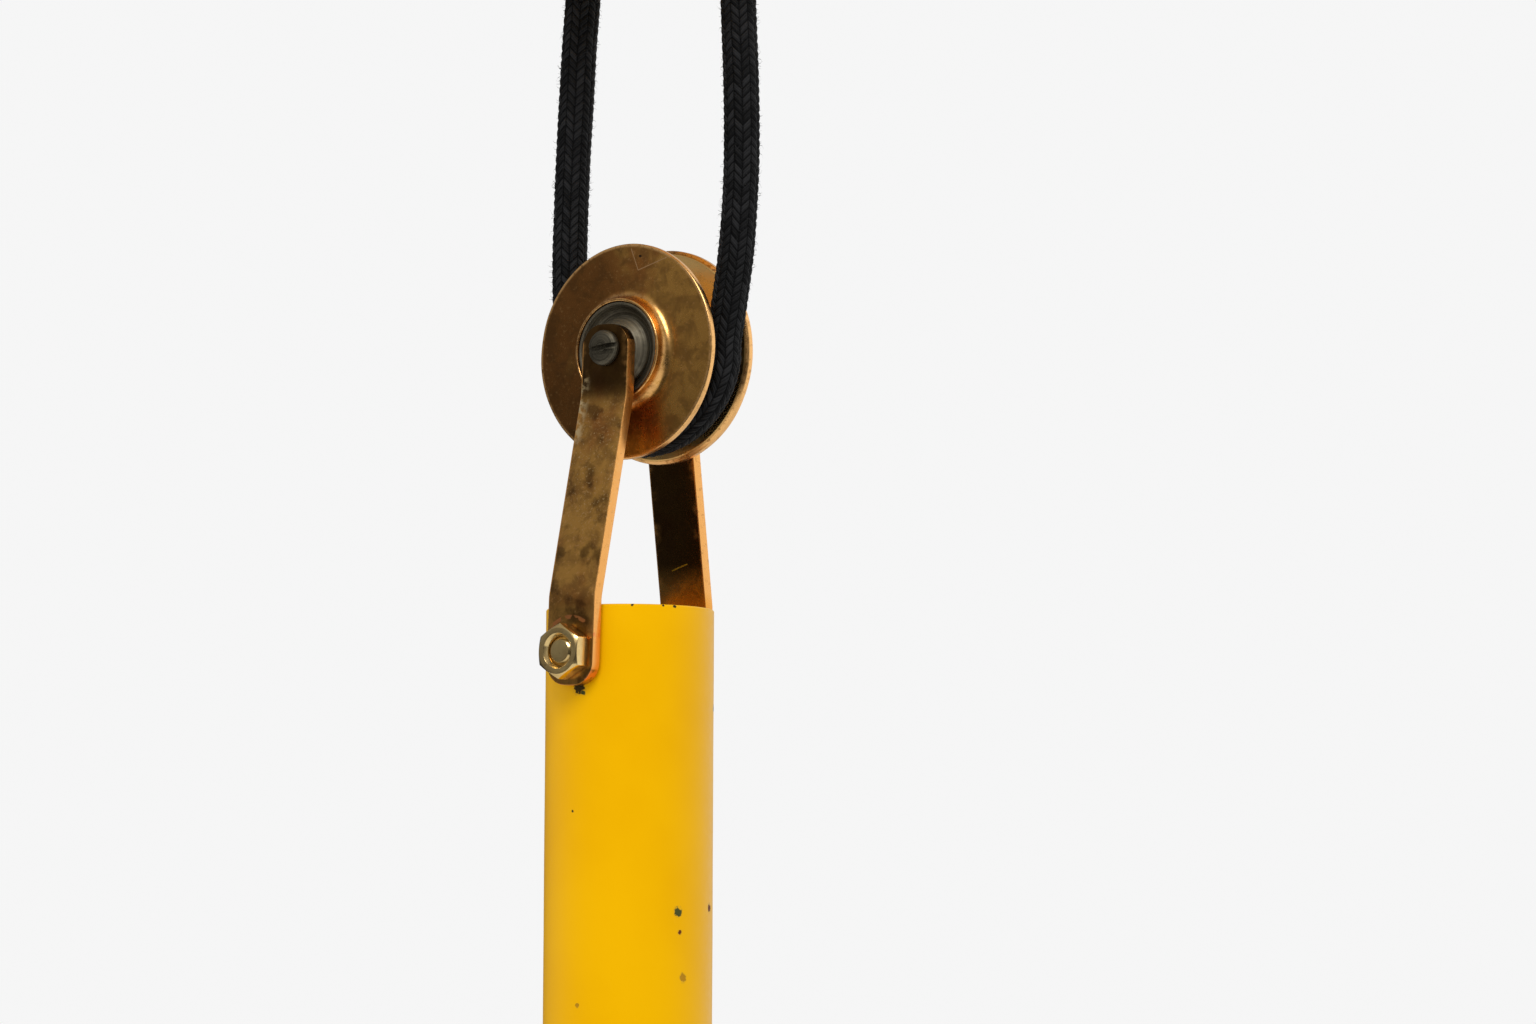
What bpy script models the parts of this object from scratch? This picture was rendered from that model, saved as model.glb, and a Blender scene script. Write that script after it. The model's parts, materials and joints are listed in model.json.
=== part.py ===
"""A counterweight on a cord pulley, hung from a ceiling canopy.

A black cord runs from the canopy down under a grooved brass sheave and back up.
Two bent brass straps hang from the sheave's axle screw, and a bolt through their lower
ends carries a yellow steel tube that holds the ballast.

Frame: metres, +Z up.  The origin is on the ceiling face, in the middle of the
mounting bar.  The sheave's axle and the bolt run along Y, and the front is -Y.
Dimensions are written in millimetres and scaled by MM.
"""

import math

import bmesh
import bpy
from mathutils import Matrix, Vector

MM = 0.001
GAP = 0.2  # between pieces that touch in the real object

# Driving dimensions, in millimetres
TUBE_R = 17.5
TUBE_WALL = 1.5
TUBE_LENGTH = 180.0
RIM_TO_CEILING = 178.0
BOLT_BELOW_RIM = 9.9
AXLE_ABOVE_BOLT = 63.6
LEAN = math.atan(0.035)  # the yoke leans over to +X, turned about the bolt
SHEAVE_R = 22.6
SHEAVE_HALF = 7.25  # half the width over both flanges
GROOVE_HALF = 5.2  # half the groove's width at the rim
GROOVE_ROOT_R = 14.0
HUB_SEAT_R = 10.2  # the hub bush sits in this bore
LIP_R = 10.9  # outside the raised lip round that bore
CORD_R = 3.6
STRAP_W = 12.0
STRAP_T = 2.4
BOLT_R = 3.0
BOLT_HEAD = 2.2
BOLT_HEAD_R = 4.5
AXLE_R = 2.0
CANOPY_R = 43.0
CANOPY_DEPTH = 33.0
CANOPY_WALL = 1.2
CORD_SPACING = 40.2
BAR_SKIN = 0.8  # metal left above the nipple's blind hole

# Places that follow from them
SHEAVE_Y = 2.1  # the sheave's middle, behind the tube's axis
AXLE_X = AXLE_ABOVE_BOLT * math.sin(LEAN)
TUBE_AXIS = Vector((-5.4, -SHEAVE_Y, 0.0))
BOLT_Z = -RIM_TO_CEILING - BOLT_BELOW_RIM
AXLE = Vector((TUBE_AXIS.x + AXLE_X, 0.0, BOLT_Z + AXLE_ABOVE_BOLT * math.cos(LEAN)))
STRAP_LOW = TUBE_R + GAP  # the strap's inner face beside the tube
FRONT_HIGH = 9.4  # the inner faces beside the sheave, from the tube's axis
REAR_HIGH = 11.5
FRONT_BEND = 53.6  # height of the upper bend above the bolt
REAR_BEND = 43.4
STRAP_TOP = AXLE_ABOVE_BOLT + 5.0
STRAP_BOTTOM = -6.8

# The cord's route in the sheave's plane, as (x, z) from the axle, left end first
LEFT_LEG = [(-16.95, 103.0), (-16.95, 93.0), (-16.95, 84.5), (-17.7, 76.0), (-18.5, 67.0), (-19.1, 57.0)]
BIGHT_LEFT = [(-19.1, 57.0), (-19.9, 44.0), (-20.4, 32.0), (-20.7, 20.0), (-20.4, 9.0)]
UNDER_X = 20.3  # half width and depth of its oval turn under the sheave
UNDER_Z = 17.9
UNDER_FROM = 185.0  # degrees from +X, turning under the sheave
UNDER_TO = 350.0
BIGHT_RIGHT = [(20.3, 2.0), (21.8, 10.0), (23.5, 21.0), (24.5, 34.0), (24.7, 45.0), (24.4, 57.0)]
RIGHT_LEG = [(24.4, 57.0), (23.9, 67.0), (23.5, 76.0), (23.25, 84.5), (23.25, 93.0), (23.25, 103.0)]
CORD_CUT = 0.3  # between the bight's ends and the legs


def material(name, colour, metallic, roughness):
    made = bpy.data.materials.new(name)
    made.use_nodes = True
    shader = made.node_tree.nodes["Principled BSDF"]
    shader.inputs["Base Color"].default_value = (*colour, 1.0)
    shader.inputs["Metallic"].default_value = metallic
    shader.inputs["Roughness"].default_value = roughness
    return made


def make_object(name, bm, look, parent=None):
    """A smooth-shaded object from a bmesh in millimetres."""
    bmesh.ops.scale(bm, vec=(MM, MM, MM), verts=bm.verts)
    mesh = bpy.data.meshes.new(name)
    bm.to_mesh(mesh)
    bm.free()
    mesh.materials.append(look)
    mesh.shade_smooth()
    mesh.set_sharp_from_angle(angle=math.radians(32))
    made = bpy.data.objects.new(name, mesh)
    bpy.context.scene.collection.objects.link(made)
    made.parent = parent
    return made


def make_empty(name, location, rotation=(0.0, 0.0, 0.0), parent=None):
    empty = bpy.data.objects.new(name, None)
    empty.location = Vector(location) * MM
    empty.rotation_euler = rotation
    empty.parent = parent
    bpy.context.scene.collection.objects.link(empty)
    return empty


def arc(centre, radius, start, end, steps):
    """Points on an arc, from start to end in degrees."""
    angles = [math.radians(start + (end - start) * i / steps) for i in range(steps + 1)]
    return [(centre[0] + radius * math.cos(a), centre[1] + radius * math.sin(a)) for a in angles]


def turned(outline, axis="Z", steps=24):
    """A closed outline of (radius, height) spun once round the axis."""
    bm = bmesh.new()
    points = [bm.verts.new((max(r, 0.0), 0.0, z)) for r, z in outline]
    ring = points + points[:1]
    edges = [bm.edges.new(pair) for pair in zip(ring, ring[1:]) if pair[0].co.x + pair[1].co.x > 0]
    bmesh.ops.spin(
        bm,
        geom=points + edges,
        cent=(0, 0, 0),
        axis=(0, 0, 1),
        angle=2 * math.pi,
        steps=steps,
        use_merge=True,
    )
    bmesh.ops.remove_doubles(bm, verts=bm.verts, dist=1e-5)
    bmesh.ops.recalc_face_normals(bm, faces=bm.faces)
    if axis == "Y":
        # The outline's height then runs along -Y, which is out of the front.
        bmesh.ops.rotate(bm, verts=bm.verts, cent=(0, 0, 0), matrix=Matrix.Rotation(math.pi / 2, 3, "X"))
    return bm


def prism(outline, low, high, axis):
    """A closed outline pushed along an axis: (x, z) along Y, or (y, z) along X, or (x, y) along Z."""
    place = {
        "X": lambda a, b, h: (h, a, b),
        "Y": lambda a, b, h: (a, h, b),
        "Z": lambda a, b, h: (a, b, h),
    }[axis]
    bm = bmesh.new()
    face = bm.faces.new([bm.verts.new(place(a, b, low)) for a, b in outline])
    pushed = bmesh.ops.extrude_face_region(bm, geom=[face])["geom"]
    shift = Vector(place(0, 0, high)) - Vector(place(0, 0, low))
    bmesh.ops.translate(bm, vec=shift, verts=[v for v in pushed if isinstance(v, bmesh.types.BMVert)])
    bmesh.ops.recalc_face_normals(bm, faces=bm.faces)
    return bm


def rounded_rectangle(left, right, bottom, top, radius, steps=5):
    corners = ((right, bottom, -90), (right, top, 0), (left, top, 90), (left, bottom, 180))
    outline = []
    for x, z, start in corners:
        inward_x = -radius if x == right else radius
        inward_z = -radius if z == top else radius
        outline += arc((x + inward_x, z + inward_z), radius, start, start + 90, steps)
    return outline


def cylinder(radius, low, high, axis, steps=20):
    return turned([(0, low), (radius, low), (radius, high), (0, high)], axis, steps)


def cut(target, tool_bm, operation="DIFFERENCE", at=(0.0, 0.0, 0.0), turn=(0.0, 0.0, 0.0)):
    """Cuts the target, in the target's own frame, by a helper that isn't rendered."""
    helper = make_object(target.name + "_cutter", tool_bm, target.data.materials[0], target)
    helper.location = Vector(at) * MM
    helper.rotation_euler = turn
    helper.hide_render = True
    helper.display_type = "WIRE"
    step = target.modifiers.new(operation.title(), "BOOLEAN")
    step.operation = operation
    step.object = helper
    step.solver = "EXACT"
    return step


def soften(target, width):
    bevel = target.modifiers.new("Soft edges", "BEVEL")
    bevel.width = width * MM
    bevel.segments = 1
    bevel.limit_method = "ANGLE"
    bevel.angle_limit = math.radians(50)


def hex_nut(name, across_flats, low, high, bore, look, parent, axis="Y"):
    """A nut with chamfered ends and countersunk mouths, points up and down."""
    corner = across_flats / 2 / math.cos(math.pi / 6)
    face = across_flats * 0.47
    drop = (corner - face) * 0.5
    mouth = bore + 0.7
    ring = [(bore, low + 0.7), (mouth, low), (face, low), (corner, low + drop), (corner, high - drop)]
    ring += [(face, high), (mouth, high), (bore, high - 0.7)]
    nut = make_object(name, turned(ring, axis, 18), look, parent)
    turns = [math.radians(60 * i) for i in range(6)]
    flats = [(corner * math.sin(t), corner * math.cos(t)) for t in turns]
    blank = prism(flats, -high - 1, -low + 1, "Y") if axis == "Y" else prism(flats, low - 1, high + 1, "Z")
    cut(nut, blank, "INTERSECT")
    return nut


def smooth_route(points, samples=4):
    """Points on a smooth curve through the route's points (Catmull-Rom)."""
    ends = [Vector(points[0]) * 2 - Vector(points[1]), Vector(points[-1]) * 2 - Vector(points[-2])]
    knots = ends[:1] + [Vector(p) for p in points] + ends[1:]
    route = []
    for a, b, c, d in zip(knots, knots[1:], knots[2:], knots[3:]):
        for i in range(samples):
            t = i / samples
            bend = (2 * a - 5 * b + 4 * c - d) * t * t + (3 * b - a - 3 * c + d) * t * t * t
            route.append((2 * b + (c - a) * t + bend) / 2)
    return route + [knots[-2]]


def cord_piece(name, points, look):
    """A plain round cord through (x, z) points of the sheave's plane."""
    curve = bpy.data.curves.new(name, "CURVE")
    curve.dimensions = "3D"
    curve.bevel_depth = CORD_R * MM
    curve.bevel_resolution = 2
    curve.use_fill_caps = True
    spline = curve.splines.new("POLY")
    route = [Vector((p[0], 0.0, p[1])) for p in points]
    spline.points.add(len(route) - 1)
    for point, place in zip(spline.points, route):
        point.co = (*(place * MM), 1.0)
    curve.materials.append(look)
    made = bpy.data.objects.new(name, curve)
    made.location = AXLE * MM
    bpy.context.scene.collection.objects.link(made)


# Ceiling fitting


def mounting_bar(steel):
    """A flat bar for two ceiling screws, with a blind tapped hole for the nipple."""
    bar = make_object("mounting_bar", prism(rounded_rectangle(-38, 38, -10, 10, 4), -2.5, 0.0, "Z"), steel)
    cut(bar, cylinder(BOLT_R + GAP, -4, -BAR_SKIN, "Z"))
    for side in (-1, 1):
        cut(bar, cylinder(2.3, -4, 2, "Z", 20), at=(30 * side, 0, 0))


def canopy(paint):
    """A shallow spun cup, open to the ceiling, with holes for the nipple and the cords."""
    outer = [(CANOPY_R, -0.4)] + arc((CANOPY_R - 9, -CANOPY_DEPTH + 9), 9, 0, -90, 4)
    inner = arc((CANOPY_R - 9, -CANOPY_DEPTH + 9), 9 - CANOPY_WALL, -90, 0, 3)
    inner += [(CANOPY_R - CANOPY_WALL, -0.4)]
    floor_out = (BOLT_R + GAP, -CANOPY_DEPTH)
    floor_in = (BOLT_R + GAP, -CANOPY_DEPTH + CANOPY_WALL)
    cup = make_object("canopy_cup", turned(outer + [floor_out, floor_in] + inner, steps=36), paint)
    for side in (-1, 1):
        hole = cylinder(5.6, -CANOPY_DEPTH - 3, -CANOPY_DEPTH + 4, "Z", 24)
        cut(cup, hole, at=(side * CORD_SPACING / 2, 0, 0))


def canopy_fixing(steel, brass):
    """The threaded nipple in the bar, its lock nut, and the knurled nut under the canopy."""
    bottom = -CANOPY_DEPTH
    make_object("canopy_nipple", cylinder(BOLT_R, bottom - 5, -BAR_SKIN - GAP, "Z", 24), steel)
    hex_nut("nipple_lock_nut", 10, -7.5, -2.5 - GAP, BOLT_R + GAP, steel, None, "Z")
    top = bottom - GAP
    bore = BOLT_R + GAP
    shape = [(bore, top), (7.0, top), (7.5, top - 0.5), (7.5, top - 4.5), (6.6, top - 5.3)]
    shape += arc((0, top - 5.3), 5.4, 0, -90, 4) + [(0, bottom - 5 - GAP), (bore, bottom - 5 - GAP)]
    make_object("canopy_knurled_nut", turned(shape, steps=18), brass)


def cord_outlet(side, name, steel, brass, rubber):
    """The brass outlet that a cord leg enters, and the grip and screw that hold its end."""
    spot = make_empty("outlet_" + name, (side * CORD_SPACING / 2, 0, -CANOPY_DEPTH))
    bore = CORD_R + GAP
    low = [(bore, -7.4)] + arc((bore + 1.2, -6.6), 0.8, -90, 0, 3)
    ring = low + [(7.0, -2.4), (8.6, -2.0), (8.6, -GAP), (5.4, -GAP), (5.4, 5.0), (bore, 5.0)]
    make_object("cord_outlet_" + name, turned(ring, steps=18), brass, spot)
    nut_ring = [(5.6, 1.5), (8.0, 1.5), (8.0, 4.3), (5.6, 4.3)]
    make_object("outlet_nut_" + name, turned(nut_ring, steps=12), steel, spot)
    grip_ring = [(bore, 5.4), (7.4, 5.4), (7.9, 5.9), (7.9, 13.5), (7.4, 14.0), (bore, 14.0)]
    grip = make_object("cord_grip_" + name, turned(grip_ring, steps=18), rubber, spot)
    cut(grip, cylinder(1.75, 2.0, 12.0, "Y", 16), at=(0, 0, 10.0))
    body = [(0, bore), (1.5, bore), (1.5, 8.3), (2.6, 8.3), (2.6, 9.6), (0, 9.6)]
    screw = make_object("grip_screw_" + name, turned(body, "Y", 12), steel, spot)
    screw.location = (0, 0, 10.0 * MM)


# Sheave


def sheave_flange(name, boss, look, parent, turn):
    """One flange: a disc with a slightly rounded rim, swept up to a raised lip round the hub's seat.

    boss is how far the lip stands out of the disc's face.
    """
    face = SHEAVE_HALF
    sweep = 2.2
    inner = GROOVE_HALF
    rim = [(SHEAVE_R - 0.5, face), (SHEAVE_R, face - 0.4), (SHEAVE_R, inner + 0.5), (SHEAVE_R - 0.7, inner)]
    groove_wall = [(GROOVE_ROOT_R + 1.2, inner - 0.9), (12.2, inner - 0.9)]
    seat = [(12.2, 3.4), (8.0, 3.4), (8.0, face - 2.2), (HUB_SEAT_R, face - 1.6)]
    seat += [(HUB_SEAT_R, face + boss - 0.3)]
    lip = [(HUB_SEAT_R + 0.3, face + boss), (LIP_R - 0.3, face + boss), (LIP_R, face + boss - 0.4)]
    rise = math.degrees(math.asin(max(0.0, 1 - (boss - 0.5) / sweep)))
    swept = arc((LIP_R + sweep, face + sweep), sweep, 180 + rise, 270, 3)
    outline = rim + groove_wall + seat + lip + swept
    flange = make_object(name, turned(outline, "Y", 40), look, parent)
    flange.rotation_euler = (0, 0, turn)


def groove_core(look, parent):
    """The drum between the flanges, hollowed to the cord's curve."""
    half = GROOVE_HALF - 0.9 - GAP
    sag = 0.8
    seat_r = 12.4
    seat = 3.1
    hollow = [(GROOVE_ROOT_R + sag * k * k / 4, half * k / 2) for k in (-2, -1, 0, 1, 2)]
    sides = [(seat_r, half), (seat_r, seat), (4.6, seat), (4.6, -seat), (seat_r, -seat), (seat_r, -half)]
    make_object("groove_core", turned(hollow + sides, "Y", 28), look, parent)


def hub_floor(boss):
    """Height of the hub bush's dished floor, from the sheave's middle."""
    return SHEAVE_HALF + max(-0.5, boss - 2.2)


def hub_bush(name, boss, look, parent, turn):
    """A dished steel bush in the flange's seat, running on the axle sleeve."""
    face = SHEAVE_HALF
    floor = hub_floor(boss)
    top = face + boss - 0.3
    edge = HUB_SEAT_R - GAP
    step = [(8.0 - GAP, 3.4), (8.0 - GAP, face - 2.2 + GAP), (edge, face - 1.6 + GAP)]
    dish = [(edge, top), (edge - 0.6, top), (8.6, floor + 0.5), (7.6, floor)]
    outline = [(4.0, 3.4)] + step + dish + [(4.0, floor)]
    bush = make_object(name, turned(outline, "Y", 28), look, parent)
    bush.rotation_euler = (0, 0, turn)


# Yoke


def cone_washer(name, floor, strap_face, look, parent, turn):
    """A coned steel washer between the hub bush's floor and the strap."""
    low = floor + GAP
    high = strap_face - GAP
    outline = [(3.4, low), (7.4, low), (7.3, low + 0.5), (5.3, high - 0.2), (5.0, high), (3.4, high)]
    washer = make_object(name, turned(outline, "Y", 24), look, parent)
    washer.rotation_euler = (0, 0, turn)


def axle(front_face, rear_face, steel, parent):
    """The sleeve that the straps clamp, and the slotted screw and nut through it."""
    sleeve = [(AXLE_R + GAP, -rear_face + GAP), (3.2, -rear_face + GAP), (3.2, front_face - GAP)]
    sleeve += [(AXLE_R + GAP, front_face - GAP)]
    make_object("axle_sleeve", turned(sleeve, "Y", 16), steel, parent)
    head = front_face + STRAP_T + GAP
    tail = -(rear_face + STRAP_T + 5.2)
    crown = [(3.6, head), (3.6, head + 0.7), (3.2, head + 1.25), (2.2, head + 1.7), (0, head + 1.85)]
    shape = [(0, tail), (AXLE_R - 0.4, tail), (AXLE_R, tail + 0.4), (AXLE_R, head)] + crown
    screw = make_object("axle_screw", turned(shape, "Y", 24), steel, parent)
    slot = rounded_rectangle(-6, 6, -0.55, 0.55, 0.05, 1)
    cut(screw, prism(slot, -(head + 4), -(head + 0.75), "Y"), turn=(0, math.radians(-8), 0))
    hex_nut("axle_nut", 7, tail + 1.4, tail + 4.9, AXLE_R + GAP, steel, parent)


def filleted(points, radius, steps=4):
    """A polyline with its inner corners rounded."""
    route = [Vector(points[0])]
    for before, corner, after in zip(points, points[1:], points[2:]):
        corner = Vector(corner)
        to_before = (Vector(before) - corner).normalized()
        to_after = (Vector(after) - corner).normalized()
        half = to_before.angle(to_after) / 2
        reach = radius / math.tan(half)
        middle = corner + (to_before + to_after).normalized() * (radius / math.sin(half))
        start = corner + to_before * reach - middle
        end = corner + to_after * reach - middle
        sweep = start.angle_signed(end)
        for i in range(steps + 1):
            turn = Matrix.Rotation(-sweep * i / steps, 2)
            route.append(middle + turn @ start)
    return route + [Vector(points[-1])]


def strap(name, side, high_face, bend_height, look, parent):
    """A flat bar bent twice: beside the tube, leaning in, then upright beside the sheave.

    side is -1 in front and 1 behind.
    """
    middle_low = STRAP_LOW + STRAP_T / 2
    middle_high = high_face + STRAP_T / 2
    line = [(middle_low, STRAP_BOTTOM - 2), (middle_low, BOLT_BELOW_RIM + 1.6)]
    line += [(middle_high, bend_height), (middle_high, STRAP_TOP + 2)]
    centre = filleted(line, 9.0)
    inner = []
    outer = []
    for i, point in enumerate(centre):
        along = centre[min(i + 1, len(centre) - 1)] - centre[max(i - 1, 0)]
        across = Vector((along.y, -along.x)).normalized() * STRAP_T / 2
        outer.append(point + across)
        inner.append(point - across)
    outline = [(side * p.x, p.y) for p in outer + inner[::-1]]
    bar = make_object(name, prism(outline, -STRAP_W, STRAP_W, "X"), look, parent)
    shape = rounded_rectangle(-STRAP_W / 2, STRAP_W / 2, STRAP_BOTTOM, STRAP_TOP, 4.8)
    cut(bar, prism(shape, -40, 40, "Y"), "INTERSECT")
    cut(bar, cylinder(BOLT_R + GAP, -40, 40, "Y", 24))
    cut(bar, cylinder(AXLE_R + GAP, -40, 40, "Y", 20), at=(0, 0, AXLE_ABOVE_BOLT))
    soften(bar, 0.25)


def bolt_and_nut(brass, steel, parent):
    """The bolt through both straps and the tube: a low slotted head behind, a nut in front."""
    seat = STRAP_LOW + STRAP_T + GAP
    nut_high = seat + 3.9
    end = nut_high - 0.7
    back = -(seat + BOLT_HEAD)
    shape = [(0, back), (BOLT_HEAD_R - 0.6, back), (BOLT_HEAD_R, back + 0.6), (BOLT_HEAD_R, -seat)]
    shape += [(BOLT_R, -seat), (BOLT_R, end - 0.6), (BOLT_R - 0.65, end), (0, end)]
    bolt = make_object("through_bolt", turned(shape, "Y", 24), brass, parent)
    cut(bolt, prism(rounded_rectangle(-6, 6, -0.6, 0.6, 0.05, 1), -back - 0.9, -back + 3, "Y"))
    hex_nut("bolt_nut", 10, seat, nut_high, BOLT_R + GAP, brass, parent)
    spacer_r = 5.0
    reach = math.sqrt((TUBE_R - TUBE_WALL) ** 2 - spacer_r**2) - GAP
    spacer = [(BOLT_R + GAP, -reach), (spacer_r, -reach), (spacer_r, reach), (BOLT_R + GAP, reach)]
    make_object("bolt_spacer", turned(spacer, "Y", 16), steel, parent)


# Counterweight, in the frame of the bolt


def weight_tube(paint, parent):
    top = BOLT_BELOW_RIM
    bottom = top - TUBE_LENGTH
    inner = TUBE_R - TUBE_WALL
    ring = [(TUBE_R, bottom), (TUBE_R, top - 0.25), (TUBE_R - 0.25, top), (inner + 0.25, top)]
    ring += [(inner, top - 0.25), (inner, bottom)]
    tube = make_object("weight_tube", turned(ring, steps=56), paint, parent)
    cut(tube, cylinder(BOLT_R + GAP, -30, 30, "Y", 24))


def ballast(lead, parent):
    top = -8.0
    bottom = BOLT_BELOW_RIM - TUBE_LENGTH + 8.0
    radius = TUBE_R - TUBE_WALL - GAP
    shape = [(0, bottom), (radius - 0.8, bottom), (radius, bottom + 0.8), (radius, top - 0.8)]
    shape += [(radius - 0.8, top), (0, top)]
    make_object("ballast_slug", turned(shape, steps=24), lead, parent)


def bottom_plug(paint, parent):
    seat = BOLT_BELOW_RIM - TUBE_LENGTH - GAP
    spigot = TUBE_R - TUBE_WALL - GAP
    shape = [(0, seat + 6), (spigot, seat + 6), (spigot, seat), (TUBE_R, seat), (TUBE_R, seat - 1.0)]
    shape += arc((TUBE_R - 1.5, seat - 1.0), 1.5, 0, -90, 3) + [(0, seat - 2.5)]
    make_object("bottom_plug", turned(shape, steps=56), paint, parent)


def cord_route():
    """The cord's three stretches: left leg, the bight under the sheave, right leg."""
    under = [(UNDER_X * x, UNDER_Z * z) for x, z in arc((0, 0), 1.0, UNDER_FROM, UNDER_TO, 10)]
    left = smooth_route(LEFT_LEG, 3)
    bight = smooth_route(BIGHT_LEFT + under + BIGHT_RIGHT, 2)
    right = smooth_route(RIGHT_LEG, 3)
    left[-1] = left[-1] + (left[-2] - left[-1]).normalized() * CORD_CUT
    right[0] = right[0] + (right[1] - right[0]).normalized() * CORD_CUT
    return left, bight, right


def main():
    for old in list(bpy.data.objects):
        bpy.data.objects.remove(old, do_unlink=True)

    brass = material("aged_brass", (0.36, 0.22, 0.08), 1.0, 0.34)
    nut_brass = material("bright_brass", (0.80, 0.60, 0.28), 1.0, 0.22)
    steel = material("dark_steel", (0.13, 0.12, 0.10), 1.0, 0.42)
    zinc = material("zinc_steel", (0.50, 0.50, 0.49), 1.0, 0.35)
    yellow = material("yellow_lacquer", (0.86, 0.47, 0.0), 0.0, 0.32)
    lead = material("ballast_metal", (0.18, 0.18, 0.19), 1.0, 0.6)
    braid = material("black_braid", (0.012, 0.012, 0.012), 0.0, 0.85)
    rubber = material("black_grip", (0.03, 0.03, 0.03), 0.0, 0.6)

    mounting_bar(zinc)
    canopy(yellow)
    canopy_fixing(zinc, nut_brass)
    for side, name in ((-1, "left"), (1, "right")):
        cord_outlet(side, name, zinc, nut_brass, rubber)

    front_face = FRONT_HIGH + SHEAVE_Y
    rear_face = REAR_HIGH - SHEAVE_Y
    sheave = make_empty("sheave_axis", AXLE)
    front_boss = 3.1
    rear_boss = 0.7
    sheave_flange("flange_front", front_boss, brass, sheave, 0.0)
    sheave_flange("flange_rear", rear_boss, brass, sheave, math.pi)
    groove_core(brass, sheave)
    hub_bush("hub_bush_front", front_boss, steel, sheave, 0.0)
    hub_bush("hub_bush_rear", rear_boss, steel, sheave, math.pi)

    bolt_spot = (TUBE_AXIS.x, TUBE_AXIS.y, BOLT_Z)
    yoke = make_empty("yoke_bolt_axis", bolt_spot, (0.0, LEAN, 0.0))
    axle_spot = make_empty("yoke_axle", (0.0, SHEAVE_Y, AXLE_ABOVE_BOLT), parent=yoke)
    cone_washer("cone_washer_front", hub_floor(front_boss), front_face, steel, axle_spot, 0.0)
    cone_washer("cone_washer_rear", hub_floor(rear_boss), rear_face, steel, axle_spot, math.pi)
    axle(front_face, rear_face, steel, axle_spot)
    strap("strap_front", -1, FRONT_HIGH, FRONT_BEND, brass, yoke)
    strap("strap_rear", 1, REAR_HIGH, REAR_BEND, brass, yoke)
    bolt_and_nut(nut_brass, zinc, yoke)

    weight = make_empty("weight_bolt_axis", bolt_spot)
    weight_tube(yellow, weight)
    ballast(lead, weight)
    bottom_plug(yellow, weight)

    left, bight, right = cord_route()
    cord_piece("cord_leg_left", left, braid)
    cord_piece("cord_bight", bight, braid)
    cord_piece("cord_leg_right", right, braid)


main()
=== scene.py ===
"""The looks of the pulley counterweight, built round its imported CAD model.

Every piece is shaped in millimetres in its own frame, as the CAD pieces are, and placed
on the joints' axes.  Turned pieces are spun from an outline with rounded corners.
"""

import json
import math
import random

import bmesh
import bpy
import numpy as np
from mathutils import Matrix, Vector, noise


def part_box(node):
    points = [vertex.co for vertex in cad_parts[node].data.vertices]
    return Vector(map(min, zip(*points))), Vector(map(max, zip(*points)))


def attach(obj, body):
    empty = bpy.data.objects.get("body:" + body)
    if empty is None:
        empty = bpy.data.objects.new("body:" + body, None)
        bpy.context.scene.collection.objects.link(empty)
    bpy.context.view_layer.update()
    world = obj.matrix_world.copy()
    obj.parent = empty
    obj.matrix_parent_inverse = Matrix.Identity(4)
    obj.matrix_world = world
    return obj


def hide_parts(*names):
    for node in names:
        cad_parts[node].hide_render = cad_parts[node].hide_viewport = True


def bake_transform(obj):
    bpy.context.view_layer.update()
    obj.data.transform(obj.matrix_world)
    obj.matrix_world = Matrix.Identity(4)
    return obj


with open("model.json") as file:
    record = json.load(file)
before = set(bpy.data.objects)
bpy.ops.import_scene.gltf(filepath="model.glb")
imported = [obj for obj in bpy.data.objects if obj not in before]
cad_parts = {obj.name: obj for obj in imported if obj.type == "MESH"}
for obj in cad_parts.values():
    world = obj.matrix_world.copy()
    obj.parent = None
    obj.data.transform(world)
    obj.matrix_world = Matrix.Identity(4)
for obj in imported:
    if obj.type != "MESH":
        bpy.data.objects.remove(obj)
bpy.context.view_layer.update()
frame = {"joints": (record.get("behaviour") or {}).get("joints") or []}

MM = 0.001
JOINTS = {joint["name"]: joint for joint in frame["joints"]}


def extent(node):
    """A CAD node's lowest and highest corners, in millimetres."""
    low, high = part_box(node)
    return low / MM, high / MM


AXLE = Vector(JOINTS["sheave_turn"]["pos_m"]) / MM
BOLT = Vector(JOINTS["tube_tilt"]["pos_m"]) / MM
AXLE_ABOVE_BOLT = math.hypot(AXLE.x - BOLT.x, AXLE.z - BOLT.z)
LEAN = math.atan2(AXLE.x - BOLT.x, AXLE.z - BOLT.z)
SHEAVE_Y = AXLE.y - BOLT.y
TUBE_LOW, TUBE_HIGH = extent("weight_tube")
TUBE_R = (TUBE_HIGH.x - TUBE_LOW.x) / 2
RIM = TUBE_HIGH.z - BOLT.z
FLANGE_LOW, FLANGE_HIGH = extent("flange_front")
SHEAVE_R = (FLANGE_HIGH.z - FLANGE_LOW.z) / 2
CANOPY_LOW, CANOPY_HIGH = extent("canopy_cup")
CANOPY_R = (CANOPY_HIGH.x - CANOPY_LOW.x) / 2

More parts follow.
